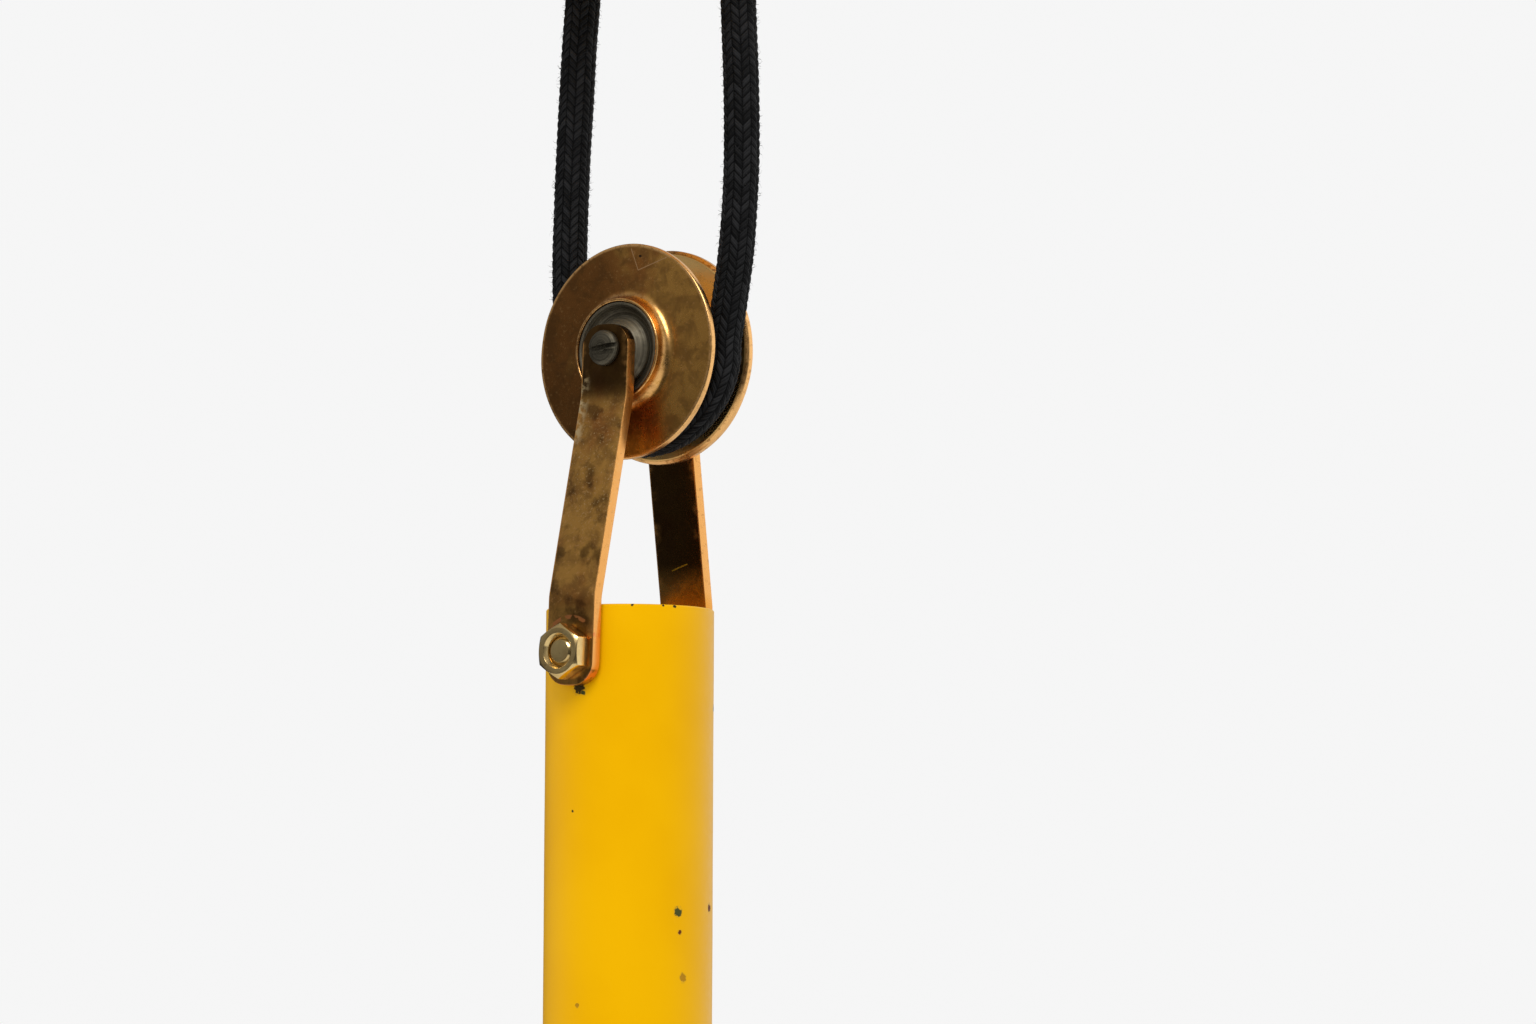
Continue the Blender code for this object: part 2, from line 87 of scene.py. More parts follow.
# The CAD's own sizes, in millimetres
TUBE_WALL = 1.5
SHEAVE_HALF = 7.25
GROOVE_HALF = 5.2
GROOVE_ROOT_R = 14.0
HUB_SEAT_R = 10.2
LIP_R = 10.9
FRONT_BOSS = 3.1
REAR_BOSS = 0.7
STRAP_W = 12.0
STRAP_T = 2.4
STRAP_LOW = TUBE_R + 0.2
FRONT_HIGH = 9.4
REAR_HIGH = 11.5
FRONT_BEND = 53.6
REAR_BEND = 43.4
STRAP_TOP = AXLE_ABOVE_BOLT + 5.0
STRAP_BOTTOM = -6.8
BOLT_R = 3.0
BOLT_HEAD = 2.2
BOLT_HEAD_R = 4.5
AXLE_R = 2.0
GAP = 0.2
CORD_R = 3.6
CANOPY_WALL = 1.2
CORD_SPACING = 40.2

# The cord's route in the sheave's plane, as (x, z) from the axle, left end first
LEFT_LEG = [(-16.95, 103.0), (-16.95, 93.0), (-16.95, 84.5), (-17.7, 76.0), (-18.5, 67.0)]
BIGHT_LEFT = [(-19.1, 57.0), (-19.9, 44.0), (-20.4, 32.0), (-20.7, 20.0), (-20.4, 9.0)]
UNDER_X = 20.3
UNDER_Z = 17.9
UNDER_FROM = 185.0
UNDER_TO = 350.0
BIGHT_RIGHT = [(20.3, 2.0), (21.8, 10.0), (23.5, 21.0), (24.5, 34.0), (24.7, 45.0)]
RIGHT_LEG = [(24.4, 57.0), (23.9, 67.0), (23.5, 76.0), (23.25, 84.5), (23.25, 93.0), (23.25, 103.0)]


# Materials

BROWN = (0.42, 0.17, 0.042)
OLIVE = (0.62, 0.32, 0.075)
DARK = (0.20, 0.095, 0.028)
WORN = (0.78, 0.42, 0.15)
RUBBED = (0.86, 0.42, 0.12)
BARE = (0.88, 0.49, 0.18)
GOLD = (0.88, 0.56, 0.20)
COPPER = (0.80, 0.30, 0.10)
# Near black, for sooty brass on the straps and for painted shade on the sheave's discs.
SOOT_AND_SHADE = (0.030, 0.014, 0.005)
PITTED = (0.05, 0.03, 0.015)


class Surface:
    """A procedural material, built up step by step on a Principled shader."""

    def __init__(self, name, **sockets):
        self.material = bpy.data.materials.new(name)
        self.material.use_nodes = True
        self.tree = self.material.node_tree
        self.shader = self.tree.nodes["Principled BSDF"]
        for socket, value in sockets.items():
            self.shader.inputs[socket.replace("_", " ")].default_value = value
        coordinates = self.add("ShaderNodeTexCoord").outputs["Object"]
        scaled = self.add("ShaderNodeVectorMath", {0: coordinates, "Scale": 1 / MM}, operation="SCALE")
        self.place = scaled.outputs[0]  # millimetres from the piece's origin
        self.height = 0.0

    def add(self, kind, inputs=(), **settings):
        node = self.tree.nodes.new(kind)
        for key, value in settings.items():
            setattr(node, key, value)
        for key, value in dict(inputs).items():
            if isinstance(value, bpy.types.NodeSocket):
                self.tree.links.new(value, node.inputs[key])
            else:
                node.inputs[key].default_value = value
        return node

    def math(self, operation, *values, clamp=False):
        inputs = dict(enumerate(values))
        return self.add("ShaderNodeMath", inputs, operation=operation, use_clamp=clamp).outputs[0]

    def axes(self, vector=None):
        return self.add("ShaderNodeSeparateXYZ", {0: vector or self.place}).outputs

    def stretched(self, x, y, z):
        """The place with each axis scaled, for grain that runs one way."""
        return self.add("ShaderNodeVectorMath", {0: self.place, 1: (x, y, z)}, operation="MULTIPLY").outputs[0]

    def noise(self, size, detail=3.0, rough=0.55, at=None, seed=0.0, warp=0.0):
        """Noise from 0 to 1, with features about that many millimetres wide."""
        inputs = {"Vector": at or self.place, "W": seed, "Scale": 1 / size}
        inputs.update({"Detail": detail, "Roughness": rough, "Distortion": warp})
        return self.add("ShaderNodeTexNoise", inputs, noise_dimensions="4D").outputs["Fac"]

    def ramp(self, value, start, end, low=0.0, high=1.0):
        """A smooth step from low at start to high at end."""
        inputs = {"Value": value, "From Min": start, "From Max": end, "To Min": low, "To Max": high}
        return self.add("ShaderNodeMapRange", inputs, interpolation_type="SMOOTHSTEP").outputs["Result"]

    def mix(self, factor, a, b):
        inputs = {"Factor": factor, 6: a, 7: b}
        node = self.add("ShaderNodeMix", data_type="RGBA")
        for key, value in inputs.items():
            if isinstance(value, bpy.types.NodeSocket):
                self.tree.links.new(value, node.inputs[key])
            else:
                node.inputs[key].default_value = (*value, 1.0) if isinstance(value, tuple) else value
        return node.outputs[2]

    def raise_by(self, value, amount):
        """Adds to the height field, in millimetres."""
        self.height = self.math("MULTIPLY_ADD", value, amount, self.height)

    def finish(self, colour=None, rough=None, strength=1.0):
        if colour is not None:
            self.tree.links.new(colour, self.shader.inputs["Base Color"])
        if rough is not None:
            self.tree.links.new(rough, self.shader.inputs["Roughness"])
        if isinstance(self.height, bpy.types.NodeSocket):
            bump = self.add("ShaderNodeBump", {"Strength": strength, "Distance": MM, "Height": self.height})
            self.tree.links.new(bump.outputs[0], self.shader.inputs["Normal"])
        return self.material


def aged_brass(name, edge, seed=0.0, grain=None, tone=None, rough=0.22, soot_and_shade=None, marks_and_painted_light=None, worn_to=RUBBED):
    """Dark patinated brass, mottled, rubbed bright where edge says so.

    tone, from 0 to 1, says where the brown patina has gone to olive, the soot function
    where it is nearly black, and the marks function adds scratches and the like to the
    colour. On the sheave's discs tone and the soot function paint light and shade, and on
    the straps the marks function also paints light and a reflection.
    """
    s = Surface(name, Metallic=1.0)
    blotch = s.noise(3.6, 5, 0.62, seed=seed + 3, warp=0.5)
    fleck = s.noise(0.7, 4, 0.6, seed=seed + 7)
    # On the sheave's discs the tone added here is painted light, brighter towards +X.
    hue_and_painted_light = s.math("ADD", s.noise(9, 3, seed=seed), tone(s) if tone else 0.0)
    body = s.mix(s.ramp(hue_and_painted_light, 0.40, 0.62), BROWN, OLIVE)
    body = s.mix(s.ramp(blotch, 0.60, 0.36, 0.0, 0.6), body, DARK)
    body = s.mix(s.ramp(fleck, 0.56, 0.70, 0, 0.5), body, WORN)
    # The darkening is sooty brass on the straps and painted shade on the sheave's discs.
    if soot_and_shade:
        body = s.mix(soot_and_shade(s), body, SOOT_AND_SHADE)
    broken = s.ramp(s.noise(1.1, 4, 0.6, seed=seed + 11), 0.40, 0.54, 0.3, 1.0)
    rubbed = s.math("MULTIPLY", edge(s), broken, clamp=True)
    body = s.mix(rubbed, body, worn_to)
    # On the straps these also add painted light and a painted reflection.
    if marks_and_painted_light:
        body = marks_and_painted_light(s, body)
    pit = s.ramp(s.noise(0.6, 3, 0.5, seed=seed + 17), 0.70, 0.76)
    body = s.mix(s.math("MULTIPLY", pit, 0.7), body, PITTED)
    dull = s.ramp(blotch, 0.3, 0.75, rough + 0.10, rough)
    dull = s.math("MULTIPLY_ADD", fleck, 0.10, s.math("SUBTRACT", dull, 0.04))
    s.raise_by(blotch, 0.015)
    s.raise_by(fleck, 0.006)
    s.raise_by(pit, -0.02)
    if grain:
        s.raise_by(grain(s), 0.003)
    return s.finish(body, dull)


def painted_light_across_disc(s):
    """Painted light: olive on the +X side of the disc, where the light falls brighter, brown on the other."""
    return s.math("MULTIPLY", s.axes()[0], 0.014)


def along_strap(s):
    """The straps are more olive than brown."""
    return s.math("MULTIPLY", s.noise(6, 2, seed=33), 0.24)


def ring_distance(s):
    x, _, z = s.axes()
    return s.math("SQRT", s.math("MULTIPLY_ADD", x, x, s.math("MULTIPLY", z, z)))


def turning_lines(s, size=0.22, seed=0.0):
    """Fine concentric lines round the piece's Y axis."""
    inputs = {"W": s.math("ADD", ring_distance(s), seed), "Scale": 1 / size, "Detail": 2.0}
    return s.add("ShaderNodeTexNoise", inputs, noise_dimensions="1D").outputs["Fac"]


def rim_edge(s):
    """Wear on the flange's rim and on the lip round its hub."""
    radius = ring_distance(s)
    rim = s.ramp(radius, SHEAVE_R - 0.9, SHEAVE_R - 0.1, 0.0, 2.0)
    lip = s.ramp(s.math("ABSOLUTE", s.math("SUBTRACT", radius, LIP_R)), 1.9, 0.4, 0.0, 0.75)
    return s.math("MAXIMUM", rim, lip)


def strap_edge(s):
    """Wear on the strap's sides and along the arrises of its faces."""
    across = s.math("ABSOLUTE", s.axes()[0])
    side = s.ramp(across, STRAP_W / 2 - 0.35, STRAP_W / 2 - 0.1, 0.0, 2.5)
    near = s.ramp(across, STRAP_W / 2 - 2.2, STRAP_W / 2 - 0.2, 0.0, 0.5)
    patch = s.ramp(s.noise(5, 2, seed=31), 0.48, 0.62)
    return s.math("MAXIMUM", side, s.math("MULTIPLY", near, patch))


def soot_front(s):
    """The front strap is nearly black beside the hub and only clouded lower down."""
    height = s.axes()[2]
    upper = s.ramp(height, 49, 57, 0.0, 0.9)
    cloud = s.ramp(s.noise(4.5, 3, seed=41), 0.50, 0.66, 0.0, 0.6)
    return s.math("MAXIMUM", upper, cloud)


def soot_rear_clear_at_painted_glow(s):
    """The rear strap is dark all over, but lighter just above the tube's rim, where the painted reflection of the
    yellow tube goes.
    """
    height = s.axes()[2]
    return s.ramp(s.math("ABSOLUTE", s.math("SUBTRACT", height, 13.0)), 2.0, 8.0, 0.25, 0.9)


def painted_shade_left(s):
    """Painted shade: the side of the disc away from +X is darker."""
    return s.ramp(s.axes()[0], 6.0, -9.0, 0.0, 0.42)


def scratch(s, colour, points, width, mark):
    """A line through (x, z) points of the piece's face, drawn in the mark's colour."""
    x, _, z = s.axes()
    flat = s.add("ShaderNodeCombineXYZ", {0: x, 2: z}).outputs[0]
    for start, end in zip(points, points[1:]):
        run = Vector((end[0] - start[0], 0.0, end[1] - start[1]))
        offset = s.add("ShaderNodeVectorMath", {0: flat, 1: (start[0], 0.0, start[1])}, operation="SUBTRACT").outputs[0]
        share = tuple(run / run.length_squared)
        part = s.add("ShaderNodeVectorMath", {0: offset, 1: share}, operation="DOT_PRODUCT").outputs["Value"]
        part = s.math("ADD", part, 0.0, clamp=True)
        nearest = s.add("ShaderNodeVectorMath", {0: tuple(run), "Scale": part}, operation="SCALE").outputs[0]
        away = s.add("ShaderNodeVectorMath", {0: offset, 1: nearest}, operation="DISTANCE").outputs["Value"]
        wander = s.math("MULTIPLY_ADD", s.noise(0.5, 2, seed=51), width, away)
        line = s.ramp(wander, 1.5 * width, 0.9 * width)
        colour = s.mix(line, colour, mark)
    return colour


def groove_side(s, colour):
    """The cord keeps the groove's walls clean."""
    inside = s.ramp(s.axes()[1], -GROOVE_HALF - 0.3, -GROOVE_HALF + 0.1, 0.0, 0.9)
    return s.mix(inside, colour, GOLD)


def disc_marks(s, colour):
    colour = groove_side(s, colour)
    colour = scratch(s, colour, [(1.5, 21.4), (3.3, 16.8), (10.8, 18.9)], 0.13, (0.72, 0.42, 0.20))
    return scratch(s, colour, [(3.7, 19.7), (3.9, 19.7)], 0.4, PITTED)


def front_strap_marks_and_painted_light(s, colour):
    """Copper arcs that a washer rubbed round the bolt, bare patches and scuffs, and painted light on the inner face: an
    orange that stands for the light falling on it from the right.
    """
    x, _, height = s.axes()
    ring = s.ramp(s.math("ABSOLUTE", s.math("SUBTRACT", ring_distance(s), 7.2)), 0.55, 0.25)
    ring = s.math("MULTIPLY", ring, s.ramp(s.noise(2.2, 2, seed=61), 0.46, 0.54))
    colour = s.mix(ring, colour, COPPER)
    left = s.ramp(x, -3.2, -5.6)
    band = s.ramp(s.math("ABSOLUTE", s.math("SUBTRACT", height, 51.0)), 8.0, 5.5)
    patch = s.ramp(s.noise(3.0, 4, 0.6, seed=62), 0.44, 0.54)
    patch = s.math("MULTIPLY", s.math("MULTIPLY", left, band), patch)
    colour = s.mix(patch, colour, (0.90, 0.66, 0.34))
    scuffed = s.ramp(s.math("ABSOLUTE", s.math("SUBTRACT", height, 38.0)), 20.0, 6.0)
    scuff = s.ramp(s.noise(0.5, 4, 0.7, seed=63), 0.56, 0.66, 0.0, 0.75)
    colour = s.mix(s.math("MULTIPLY", scuffed, scuff), colour, (0.84, 0.56, 0.26))
    # Painted light: the inner face, towards +Y, is painted bright orange as if lit from the right, for the disc to
    # mirror.
    facing = s.axes(s.add("ShaderNodeNewGeometry").outputs["Normal"])[1]
    return s.mix(s.ramp(facing, 0.3, 0.8), colour, (0.86, 0.46, 0.13))


def rear_strap_painted_glow_and_smear(s, colour):
    """Painted reflection: orange just above the tube's rim, as the yellow tube would show mirrored in the strap, and a
    smear of yellow paint.
    """
    # Painted reflection of the yellow tube, just above its rim.
    clean = s.ramp(s.math("MULTIPLY_ADD", s.noise(4, 3, seed=71), 4.0, s.axes()[2]), 17.5, 12.5, 0.0, 0.8)
    colour = s.mix(clean, colour, (0.80, 0.34, 0.04))
    return scratch(s, colour, [(-2.0, 19.3), (2.0, 20.6)], 0.2, (0.86, 0.50, 0.04))


def no_edge(s):
    return s.math("MULTIPLY", s.noise(3), 0.2)


def bright_brass(name, seed=0.0):
    s = Surface(name, Metallic=1.0)
    cloud = s.noise(3, 4, 0.6, seed=seed)
    speck = s.ramp(s.noise(0.45, 3, seed=seed + 5), 0.66, 0.72)
    colour = s.mix(s.ramp(cloud, 0.35, 0.68), (0.66, 0.46, 0.19), (0.82, 0.61, 0.27))
    colour = s.mix(s.math("MULTIPLY", speck, 0.6), colour, (0.20, 0.12, 0.05))
    s.raise_by(cloud, 0.02)
    s.raise_by(s.noise(0.35, 2, seed=seed + 9), 0.004)
    return s.finish(colour, s.ramp(cloud, 0.3, 0.7, 0.26, 0.16))


def dark_steel(name, seed=0.0, shade=1.0):
    """Blackened steel, warm in tone, with the lines that turning left; shade scales its brightness."""

    def toned(colour):
        return tuple(shade * part for part in colour)

    s = Surface(name, Metallic=1.0)
    lines = turning_lines(s, 0.3, seed)
    cloud = s.noise(2.2, 4, 0.6, seed=seed)
    colour = s.mix(s.ramp(cloud, 0.3, 0.7), toned((0.085, 0.072, 0.050)), toned((0.18, 0.156, 0.108)))
    colour = s.mix(s.ramp(lines, 0.35, 0.65, 0.0, 0.5), colour, toned((0.34, 0.30, 0.22)))
    s.raise_by(lines, 0.03)
    s.raise_by(cloud, 0.03)
    return s.finish(colour, s.ramp(cloud, 0.3, 0.7, 0.62, 0.48))


def zinc_steel(name):
    s = Surface(name, Metallic=1.0)
    cloud = s.noise(6, 4, 0.6)
    spangle = s.add("ShaderNodeTexVoronoi", {"Vector": s.place, "Scale": 1 / 1.4}).outputs["Color"]
    tone = s.axes(spangle)[0]
    colour = s.mix(s.ramp(cloud, 0.3, 0.7), (0.42, 0.42, 0.41), (0.60, 0.60, 0.585))
    s.raise_by(s.noise(0.5, 2), 0.01)
    return s.finish(colour, s.math("MULTIPLY_ADD", tone, 0.10, 0.30))


def lacquer(name, chips=(), scuffs=True):
    """Glossy yellow lacquer over steel.

    chips are (bearing in degrees round the tube, height, radius, colour), with the
    bearing measured from the front towards +X.
    """
    s = Surface(name, IOR=1.40, Specular_Tint=(1.0, 0.70, 0.01, 1.0))
    broad = s.noise(22, 2)
    fine = s.noise(1.6, 3)
    colour = s.mix(s.ramp(broad, 0.3, 0.7), (0.790, 0.395, 0.0006), (0.830, 0.430, 0.0010))
    grime = s.ramp(s.noise(0.5, 4, 0.65, seed=4), 0.70, 0.76, 0.0, 0.5)
    colour = s.mix(grime, colour, (0.50, 0.24, 0.01))
    rough = s.ramp(fine, 0.3, 0.7, 0.34, 0.42)
    s.raise_by(fine, 0.010)
    s.raise_by(s.noise(9, 2, seed=2), 0.03)
    if scuffs:
        streak = s.noise(0.35, 3, 0.7, at=s.stretched(1.0, 1.0, 0.06), seed=8)
        colour = s.mix(s.ramp(streak, 0.70, 0.80, 0.0, 0.25), colour, (0.93, 0.62, 0.12))
        s.raise_by(streak, 0.004)
    ragged = s.noise(0.8, 4, 0.7, seed=12)
    for bearing, height, radius, inner in chips:
        angle = math.radians(bearing)
        spot = (TUBE_R * math.sin(angle), -TUBE_R * math.cos(angle), height)
        away = s.add("ShaderNodeVectorMath", {0: s.place, 1: spot}, operation="DISTANCE").outputs["Value"]
        away = s.math("MULTIPLY_ADD", s.math("SUBTRACT", ragged, 0.5), 2.6 * radius, away)
        mask = s.ramp(away, radius * 1.05, radius * 0.85)
        ring = s.math("MULTIPLY", s.ramp(away, radius * 1.5, radius * 0.95), 0.5)
        colour = s.mix(ring, colour, (0.55, 0.30, 0.02))
        colour = s.mix(mask, colour, inner)
        s.raise_by(mask, -0.06)
        rough = s.math("MULTIPLY_ADD", mask, 0.25, rough)
    return s.finish(colour, rough)


def black_grip(name):
    s = Surface(name, Base_Color=(0.02, 0.02, 0.02, 1.0))
    grain = s.noise(0.4, 3)
    s.raise_by(grain, 0.02)
    return s.finish(None, s.ramp(grain, 0.3, 0.7, 0.5, 0.65))


def ballast_metal(name):
    s = Surface(name, Metallic=1.0)
    cast = s.noise(1.2, 5, 0.65)
    colour = s.mix(s.ramp(cast, 0.3, 0.7), (0.13, 0.13, 0.14), (0.26, 0.26, 0.27))
    s.raise_by(cast, 0.12)
    return s.finish(colour, s.ramp(cast, 0.3, 0.7, 0.5, 0.7))


def black_braid(name):
    """Textile yarn: filaments along each stitch, brightness that changes from stitch to stitch, and painted shade in
    the grooves between stitches.
    """
    s = Surface(name, Specular_IOR_Level=0.09)
    uv = s.add("ShaderNodeUVMap", uv_map="braid").outputs[0]
    wale, row, _ = s.axes(uv)
    column = s.math("FLOOR", wale)
    across = s.math("SUBTRACT", s.math("FRACT", wale), 0.5)
    lean = s.math("SUBTRACT", s.math("MULTIPLY", s.math("MODULO", column, 2.0), 2.0), 1.0)
    along = s.math("SUBTRACT", row, s.math("MULTIPLY", lean, across))
    stitch = s.math("FLOOR", along)
    within = s.math("FRACT", along)
    which = s.add("ShaderNodeCombineXYZ", {0: column, 1: stitch}).outputs[0]
    chance = s.add("ShaderNodeTexWhiteNoise", {0: which}, noise_dimensions="2D").outputs["Value"]
    thread = s.math("SINE", s.math("MULTIPLY", within, FILAMENTS * 2 * math.pi))
    fuzz = s.noise(0.18, 3, 0.7)
    tone = s.math("MULTIPLY_ADD", thread, 0.16, s.math("MULTIPLY_ADD", chance, 0.55, fuzz))
    colour = s.mix(s.ramp(tone, 0.35, 1.35), (0.003, 0.003, 0.0031), (0.021, 0.021, 0.022))
    # Painted shade: near black in the grooves between stitches and between columns.
    painted_groove_shade = s.ramp(s.math("ABSOLUTE", s.math("SUBTRACT", within, 0.5)), 0.30, 0.48)
    painted_groove_shade = s.math("MAXIMUM", painted_groove_shade, s.ramp(s.math("ABSOLUTE", across), 0.38, 0.5))
    colour = s.mix(painted_groove_shade, colour, (0.0012, 0.0012, 0.0013))
    s.raise_by(thread, 0.03)
    s.raise_by(fuzz, 0.10)
    return s.finish(colour, s.ramp(fuzz, 0.3, 0.7, 0.42, 0.65))


# Shapes


def arc(centre, radius, start, end, steps):
    """Points on an arc, from start to end in degrees."""
    angles = [math.radians(start + (end - start) * i / steps) for i in range(steps + 1)]
    return [(centre[0] + radius * math.cos(a), centre[1] + radius * math.sin(a)) for a in angles]


def rounded(outline, steps=4):
    """A closed outline in which a corner with a third number is rounded to that radius."""
    made = []
    count = len(outline)
    for i, point in enumerate(outline):
        corner = Vector(point[:2])
        radius = point[2] if len(point) > 2 else 0.0
        before = Vector(outline[i - 1][:2]) - corner
        after = Vector(outline[(i + 1) % count][:2]) - corner
        if radius <= 0 or before.length < 1e-6 or after.length < 1e-6:
            made.append(tuple(corner))
            continue
        half = before.angle(after) / 2
        reach = min(radius / math.tan(half), before.length * 0.48, after.length * 0.48)
        radius = reach * math.tan(half)
        middle = corner + (before.normalized() + after.normalized()).normalized() * (radius / math.sin(half))
        start = corner + before.normalized() * reach - middle
        end = corner + after.normalized() * reach - middle
        first = math.atan2(start.y, start.x)
        sweep = (math.atan2(end.y, end.x) - first + math.pi) % (2 * math.pi) - math.pi
        for k in range(steps + 1):
            angle = first + sweep * k / steps
            made.append((middle.x + radius * math.cos(angle), middle.y + radius * math.sin(angle)))
    return made


def turned(outline, axis="Z", steps=96):
    """A closed outline of (radius, height) spun round the axis; its height runs along -Y for axis Y."""
    profile = np.array([(max(r, 0.0), h) for r, h in outline])
    angles = np.arange(steps) * 2 * np.pi / steps
    ring = np.stack([np.cos(angles), np.sin(angles)], 1)
    count = len(profile)
    places = np.zeros((count, steps, 3))
    places[:, :, :2] = profile[:, None, :1] * ring[None]
    places[:, :, 2] = profile[:, 1:]
    bm = bmesh.new()
    verts = [bm.verts.new(p) for p in places.reshape(-1, 3)]
    for i in range(count):
        j = (i + 1) % count
        if profile[i, 0] < 1e-9 and profile[j, 0] < 1e-9:
            continue
        for k in range(steps):
            m = (k + 1) % steps
            quad = [verts[i * steps + k], verts[i * steps + m], verts[j * steps + m], verts[j * steps + k]]
            bm.faces.new(quad)
    bmesh.ops.remove_doubles(bm, verts=bm.verts, dist=1e-5)
    loose = [v for v in bm.verts if not v.link_faces]
    bmesh.ops.delete(bm, geom=loose, context="VERTS")
    bmesh.ops.recalc_face_normals(bm, faces=bm.faces)
    if axis == "Y":
        bmesh.ops.rotate(bm, verts=bm.verts, cent=(0, 0, 0), matrix=Matrix.Rotation(math.pi / 2, 3, "X"))
    return bm


def prism(outline, low, high, axis):
    """A closed outline pushed along an axis: (x, z) along Y, or (y, z) along X, or (x, y) along Z."""
    place = {
        "X": lambda a, b, h: (h, a, b),
        "Y": lambda a, b, h: (a, h, b),
        "Z": lambda a, b, h: (a, b, h),
    }[axis]
    bm = bmesh.new()
    face = bm.faces.new([bm.verts.new(place(a, b, low)) for a, b in outline])
    pushed = bmesh.ops.extrude_face_region(bm, geom=[face])["geom"]
    shift = Vector(place(0, 0, high)) - Vector(place(0, 0, low))
    bmesh.ops.translate(bm, vec=shift, verts=[v for v in pushed if isinstance(v, bmesh.types.BMVert)])
    bmesh.ops.recalc_face_normals(bm, faces=bm.faces)
    return bm


def cylinder(radius, low, high, axis, steps=48):
    return turned([(0, low), (radius, low), (radius, high), (0, high)], axis, steps)


def mesh_object(name, bm):
    bmesh.ops.scale(bm, vec=(MM, MM, MM), verts=bm.verts)
    mesh = bpy.data.meshes.new(name)
    bm.to_mesh(mesh)
    bm.free()
    made = bpy.data.objects.new(name, mesh)
    bpy.context.scene.collection.objects.link(made)
    return made


def trim(piece, tool_bm, operation="DIFFERENCE"):
    """Cuts the piece's mesh, in its own frame, and keeps the result."""
    helper = mesh_object("helper", tool_bm)
    step = piece.modifiers.new("Cut", "BOOLEAN")
    step.operation = operation
    step.object = helper
    step.solver = "EXACT"
    settle(piece)
    bpy.data.objects.remove(helper)


def settle(piece):
    """Replaces the piece's mesh with what its modifiers make of it."""
    bpy.context.view_layer.update()
    seen = piece.evaluated_get(bpy.context.evaluated_depsgraph_get())
    mesh = bpy.data.meshes.new_from_object(seen)
    piece.modifiers.clear()
    piece.data = mesh


def ease(piece, width, segments=3, angle=35):
    """Rounds the piece's sharp edges."""
    step = piece.modifiers.new("Eased edges", "BEVEL")
    step.width = width * MM
    step.segments = segments
    step.limit_method = "ANGLE"
    step.angle_limit = math.radians(angle)
    settle(piece)


def dent(piece, amount, size, seed=0.0):
    """Moves the surface in and out a little, as handling and filing leave it."""
    for vertex in piece.data.vertices:
        spot = vertex.co / (size * MM) + Vector((seed, seed * 1.7, seed * 0.6))
        vertex.co += vertex.normal * (noise.noise(spot) * amount * MM)


def show(piece, node, look, body, place=(0, 0, 0), turn=0.0, lean=0.0, sharp=38):
    """Gives a finished piece its look, puts it in place, and lets it stand for its CAD node."""
    piece.data.materials.clear()
    piece.data.materials.append(look)
    piece.data.shade_smooth()
    piece.data.set_sharp_from_angle(angle=math.radians(sharp))
    spin = Matrix.Rotation(lean, 4, "Y") @ Matrix.Rotation(turn, 4, "Z")
    piece.matrix_world = Matrix.Translation(Vector(place) * MM) @ spin
    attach(piece, body)
    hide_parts(node)
    return piece


# Sheave and its axle


def flange(node, boss, look, turn):
    """A disc with a rounded rim, swept up to a raised lip round the hub's seat."""
    face = SHEAVE_HALF
    inner = GROOVE_HALF
    sweep = 2.2
    rise = math.degrees(math.asin(max(0.0, 1 - (boss - 0.5) / sweep)))
    rim = [(SHEAVE_R - 0.02, face, 0.34), (SHEAVE_R, inner + 0.7, 0.5)]
    groove_wall = [(SHEAVE_R - 0.9, inner, 0.6), (GROOVE_ROOT_R + 1.2, inner - 0.9, 0.5), (12.2, inner - 0.9)]
    seat = [(12.2, 3.4), (8.0, 3.4), (8.0, face - 2.2), (HUB_SEAT_R, face - 1.6)]
    lip = [(HUB_SEAT_R, face + boss, 0.3), (LIP_R, face + boss, 0.4)]
    swept = arc((LIP_R + sweep, face + sweep), sweep, 180 + rise, 270, 10)
    outline = rounded(rim + groove_wall + seat + lip + swept, 5)
    piece = mesh_object("sheave_" + node, turned(outline, "Y", 192))
    dent(piece, 0.07, 7, seed=turn)
    show(piece, node, look, "sheave", AXLE, turn)


def groove_core(look):
    half = GROOVE_HALF - 0.9 - GAP
    hollow = [(GROOVE_ROOT_R + 0.8 * k * k / 64, half * k / 8) for k in range(-8, 9)]
    sides = [(12.4, half), (12.4, 3.1), (4.6, 3.1), (4.6, -3.1), (12.4, -3.1), (12.4, -half)]
    piece = mesh_object("sheave_groove", turned(hollow + sides, "Y", 128))
    show(piece, "groove_core", look, "sheave", AXLE)


def hub_floor(boss):
    """Height of the hub bush's dished floor, from the sheave's middle."""
    return SHEAVE_HALF + max(-0.5, boss - 2.2)


def hub_bush(node, boss, look, turn):
    face = SHEAVE_HALF
    low = hub_floor(boss)
    top = face + boss - 0.25
    edge = HUB_SEAT_R - GAP / 2
    step = [(7.8, 3.4), (7.8, face - 2.0), (edge, face - 1.4)]
    dish = [(edge, top, 0.2), (edge - 0.6, top, 0.4), (8.7, low + 0.5, 0.8)]
    floor = [(7.6, low, 0.6), (4.0, low)]
    piece = mesh_object("steel_" + node, turned(rounded([(4.0, 3.4)] + step + dish + floor, 5), "Y", 128))
    show(piece, node, look, "sheave", AXLE, turn)


def cone_washer(node, floor, strap_face, look, turn, place):
    low = floor + GAP
    high = strap_face - GAP / 2
    outline = [(3.4, low), (7.4, low, 0.15), (7.3, low + 0.7, 0.3), (5.5, high - 0.3, 0.4), (5.1, high, 0.15), (3.4, high)]
    piece = mesh_object("steel_" + node, turned(rounded(outline), "Y", 96))
    show(piece, node, look, "yoke", place, turn, LEAN)


